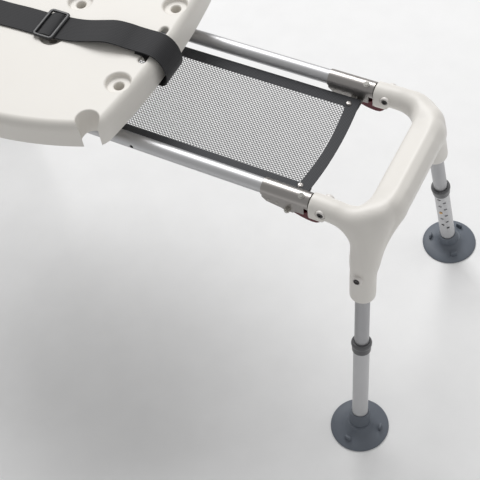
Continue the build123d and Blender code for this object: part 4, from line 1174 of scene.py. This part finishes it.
class BENCH_OT_belt(bpy.types.Operator):
    """Build the two halves of the seat belt."""
    bl_idname = "bench.belt"
    bl_label = "Belt"

    def execute(self, context):
        wanted = context.scene.bench_belt
        black = finishes()["belt_webbing"]
        runs = {1: [(205, -6, 7.4), (188, -8, 10.5), (165, -11, 12), (140, -16, 8.5), (112, -20, 2.5),
                    (92, -23, 0.5), (74, -25, 0.3), (67, -25.7, 0.8), (62, -26.3, 3.6),
                    (54, -27, 4.8), (46, -27.8, 3.6), (41, -28.3, 0.8), (34, -29, 0.3),
                    (0, -30, 0.5), (-45, -32.5, 0.2), (-82, -33, 0.8)],
                -1: [(-205, -6, 5.5), (-188, -12, 5), (-172, -19, 3), (-154, -29, 0.6),
                     (-151, -33, 0.8)]}
        for end, name in ((1, "belt_right"), (-1, "belt_left")):
            path = curve_through(belt_path(end, runs[end]), 5)
            strap = ribbon(name + "_strap", path, wanted.width, wanted.thick)
            settle(strap, "seat", black, "belt_webbing", name)
        low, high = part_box("belt_slider")
        ring = rounded_box_outline(0.041, 0.067, 0.008, 6)
        origin = ((low.x + high.x) / 2, -0.027, SEAT_TOP + 0.0036)
        rings = [(0, 0.0012), (0.0005, 0.0003), (0.0014, 0), (0.0026, 0.0002), (0.0035, 0.0009),
                 (0.0040, 0.0020)]
        slider = stack("belt_slider_frame", ring, rings, origin)
        window = rounded_box_outline(0.030, 0.0562, 0.003, 4)
        slider = carve(slider, [stack("window", window, [(-0.002, 0), (0.003, 0), (0.0042, -0.001)],
                                      origin)])
        settle(slider, "seat", finishes()["black_plastic"], "black_plastic", "belt_slider")
        return {"FINISHED"}


class BENCH_OT_legs(bpy.types.Operator):
    """Build the collars and rubber feet, and finish the leg tubes and their buttons."""
    bl_idname = "bench.legs"
    bl_label = "Legs"

    def execute(self, context):
        made = finishes()
        for corner, end, side in CORNERS:
            settle(leg_collar(corner, end, side), f"lower_leg_{corner}", made["collar_plastic"],
                   "collar_plastic", f"leg_collar_{corner}")
            settle(suction_foot(corner, end, side), f"lower_leg_{corner}", made["foot_rubber"],
                   "foot_rubber", f"suction_foot_{corner}")
            paint(f"upper_leg_tube_{corner}", "upper_leg_aluminium")
            paint(f"lower_leg_tube_{corner}", "lower_leg_coat")
            paint(f"snap_button_{corner}", "button_brass")
        return {"FINISHED"}


class BENCH_OT_fasteners(bpy.types.Operator):
    """Build the end-frame bolts with their cap washers, and the net screws."""
    bl_idname = "bench.fasteners"
    bl_label = "Fasteners"

    def execute(self, context):
        wanted = context.scene.bench_frames
        heads = []
        for _, end, side in CORNERS:
            for place, axis, reach in bolt_lines(end, side):
                for out in (-1, 1):
                    spot = place + axis * out * (reach + wanted.proud)
                    heads.append((spot, axis * out, Vector((1, 0, 0.3))))
        cap = cap_shape()
        screw = hex_screw_shape()
        caps = copies("cap_washers", cap, heads)
        screws = copies("bolt_heads", screw, heads)
        drop(cap, screw)
        settle(caps, "bench_frame", finishes()["cap_plastic"], "cap_plastic", "frame_bolts")
        shape = cross_screw_shape("net_screw_shape", 5.2 * MM, 2.6 * MM, 5.0 * MM, "stainless")
        spots = []
        for low, high in islands("net_screws"):
            x = (low.x + high.x) / 2
            y = (low.y + high.y) / 2
            spots.append(((x, y, net_height(y) + 0.9 * MM), Vector((0, 0, 1)),
                          Vector((1, 0.4, 0))))
        tops = copies("net_screw_heads", shape, spots)
        drop(shape)
        settle(tops, "bench_frame", finishes()["stainless"], "zinc_steel", "net_screws")
        settle(screws, "bench_frame", finishes()["socket_dark"], "cap_plastic")
        return {"FINISHED"}


class BENCH_OT_metalwork(bpy.types.Operator):
    """Finish the rails, brackets, latches, carriage, turntable and buckle."""
    bl_idname = "bench.metalwork"
    bl_label = "Metalwork"

    def execute(self, context):
        for node, slot in CAD_FINISHES.items():
            paint(node, slot)
        for node in ("bracket_screws", "bracket_rivets", "net_clips"):
            paint(node, "zinc_steel")
        for node in ("buckle_socket", "buckle_tongue"):
            paint(node, "black_plastic")
        for corner, end, side in CORNERS:
            paint(f"rail_bracket_{corner}", "stainless")
            settle(latch_lever(corner, end, side), f"latch_{corner}", finishes()["latch_red"],
                   "latch_red", f"latch_lever_{corner}")
        return {"FINISHED"}


class BENCH_OT_stage(bpy.types.Operator):
    """Set the pale floor, the soft lights and the camera."""
    bl_idname = "bench.stage"
    bl_label = "Stage"

    def execute(self, context):
        wanted = context.scene.bench_stage
        scene = context.scene
        world = bpy.data.worlds.new("studio")
        world.use_nodes = True
        shade = world.node_tree.nodes["Background"]
        shade.inputs["Color"].default_value = (1, 1, 1, 1)
        shade.inputs["Strength"].default_value = 0.42
        scene.world = world
        floor = mesh_object("floor", [(-8, -8, 0), (8, -8, 0), (8, 8, 0), (-8, 8, 0)],
                            [(0, 1, 2, 3)])
        floor.data.materials.append(finish_of("pale floor", (0.93, 0.93, 0.93), 0.7,
                                              grain=(60.0, 0.01, 0.03)))
        key = aim_light("key", (-2.5, 3.4, 5.2), (0.2, 0, 0.4), wanted.key, 3.6)
        fill = aim_light("fill", (1.8, 1.2, 2.2), (0.3, 0, 0.3), wanted.key * 0.03, 2.0)
        make_camera((0.9347, -1.0735, 1.9183), wanted.azimuth, wanted.elevation, wanted.roll,
                    wanted.lens)
        scene.view_settings.view_transform = "Standard"
        return {"FINISHED"}


class BENCH_PT_panel(bpy.types.Panel):
    """Sidebar panel with every step of the bench."""
    bl_idname = "BENCH_PT_panel"
    bl_label = "Bath transfer bench"
    bl_space_type = "VIEW_3D"
    bl_region_type = "UI"
    bl_category = "Bench"

    def draw(self, context):
        for step in STEPS:
            self.layout.operator(step.bl_idname)
        self.layout.prop(context.scene.bench_belt, "width")
        self.layout.prop(context.scene.bench_belt, "thick")
        self.layout.prop(context.scene.bench_stage, "key")


STEPS = (BENCH_OT_end_frames, BENCH_OT_seat, BENCH_OT_net, BENCH_OT_belt, BENCH_OT_legs,
         BENCH_OT_fasteners, BENCH_OT_metalwork, BENCH_OT_stage)
GROUPS = (("bench_frames", BENCH_PG_frames), ("bench_belt", BENCH_PG_belt),
          ("bench_stage", BENCH_PG_stage))


def register():
    """Register the settings, the steps and the panel."""
    for name, group in GROUPS:
        bpy.utils.register_class(group)
        setattr(bpy.types.Scene, name, bpy.props.PointerProperty(type=group))
    for step in STEPS:
        bpy.utils.register_class(step)
    bpy.utils.register_class(BENCH_PT_panel)


def unregister():
    """Take the panel, the steps and the settings away again."""
    bpy.utils.unregister_class(BENCH_PT_panel)
    for step in reversed(STEPS):
        bpy.utils.unregister_class(step)
    for name, group in reversed(GROUPS):
        delattr(bpy.types.Scene, name)
        bpy.utils.unregister_class(group)


def main():
    """Build every piece in order."""
    register()
    bpy.ops.bench.end_frames()
    bpy.ops.bench.seat()
    bpy.ops.bench.net()
    bpy.ops.bench.belt()
    bpy.ops.bench.legs()
    bpy.ops.bench.fasteners()
    bpy.ops.bench.metalwork()
    bpy.ops.bench.stage()


if __name__ == "__main__":
    main()
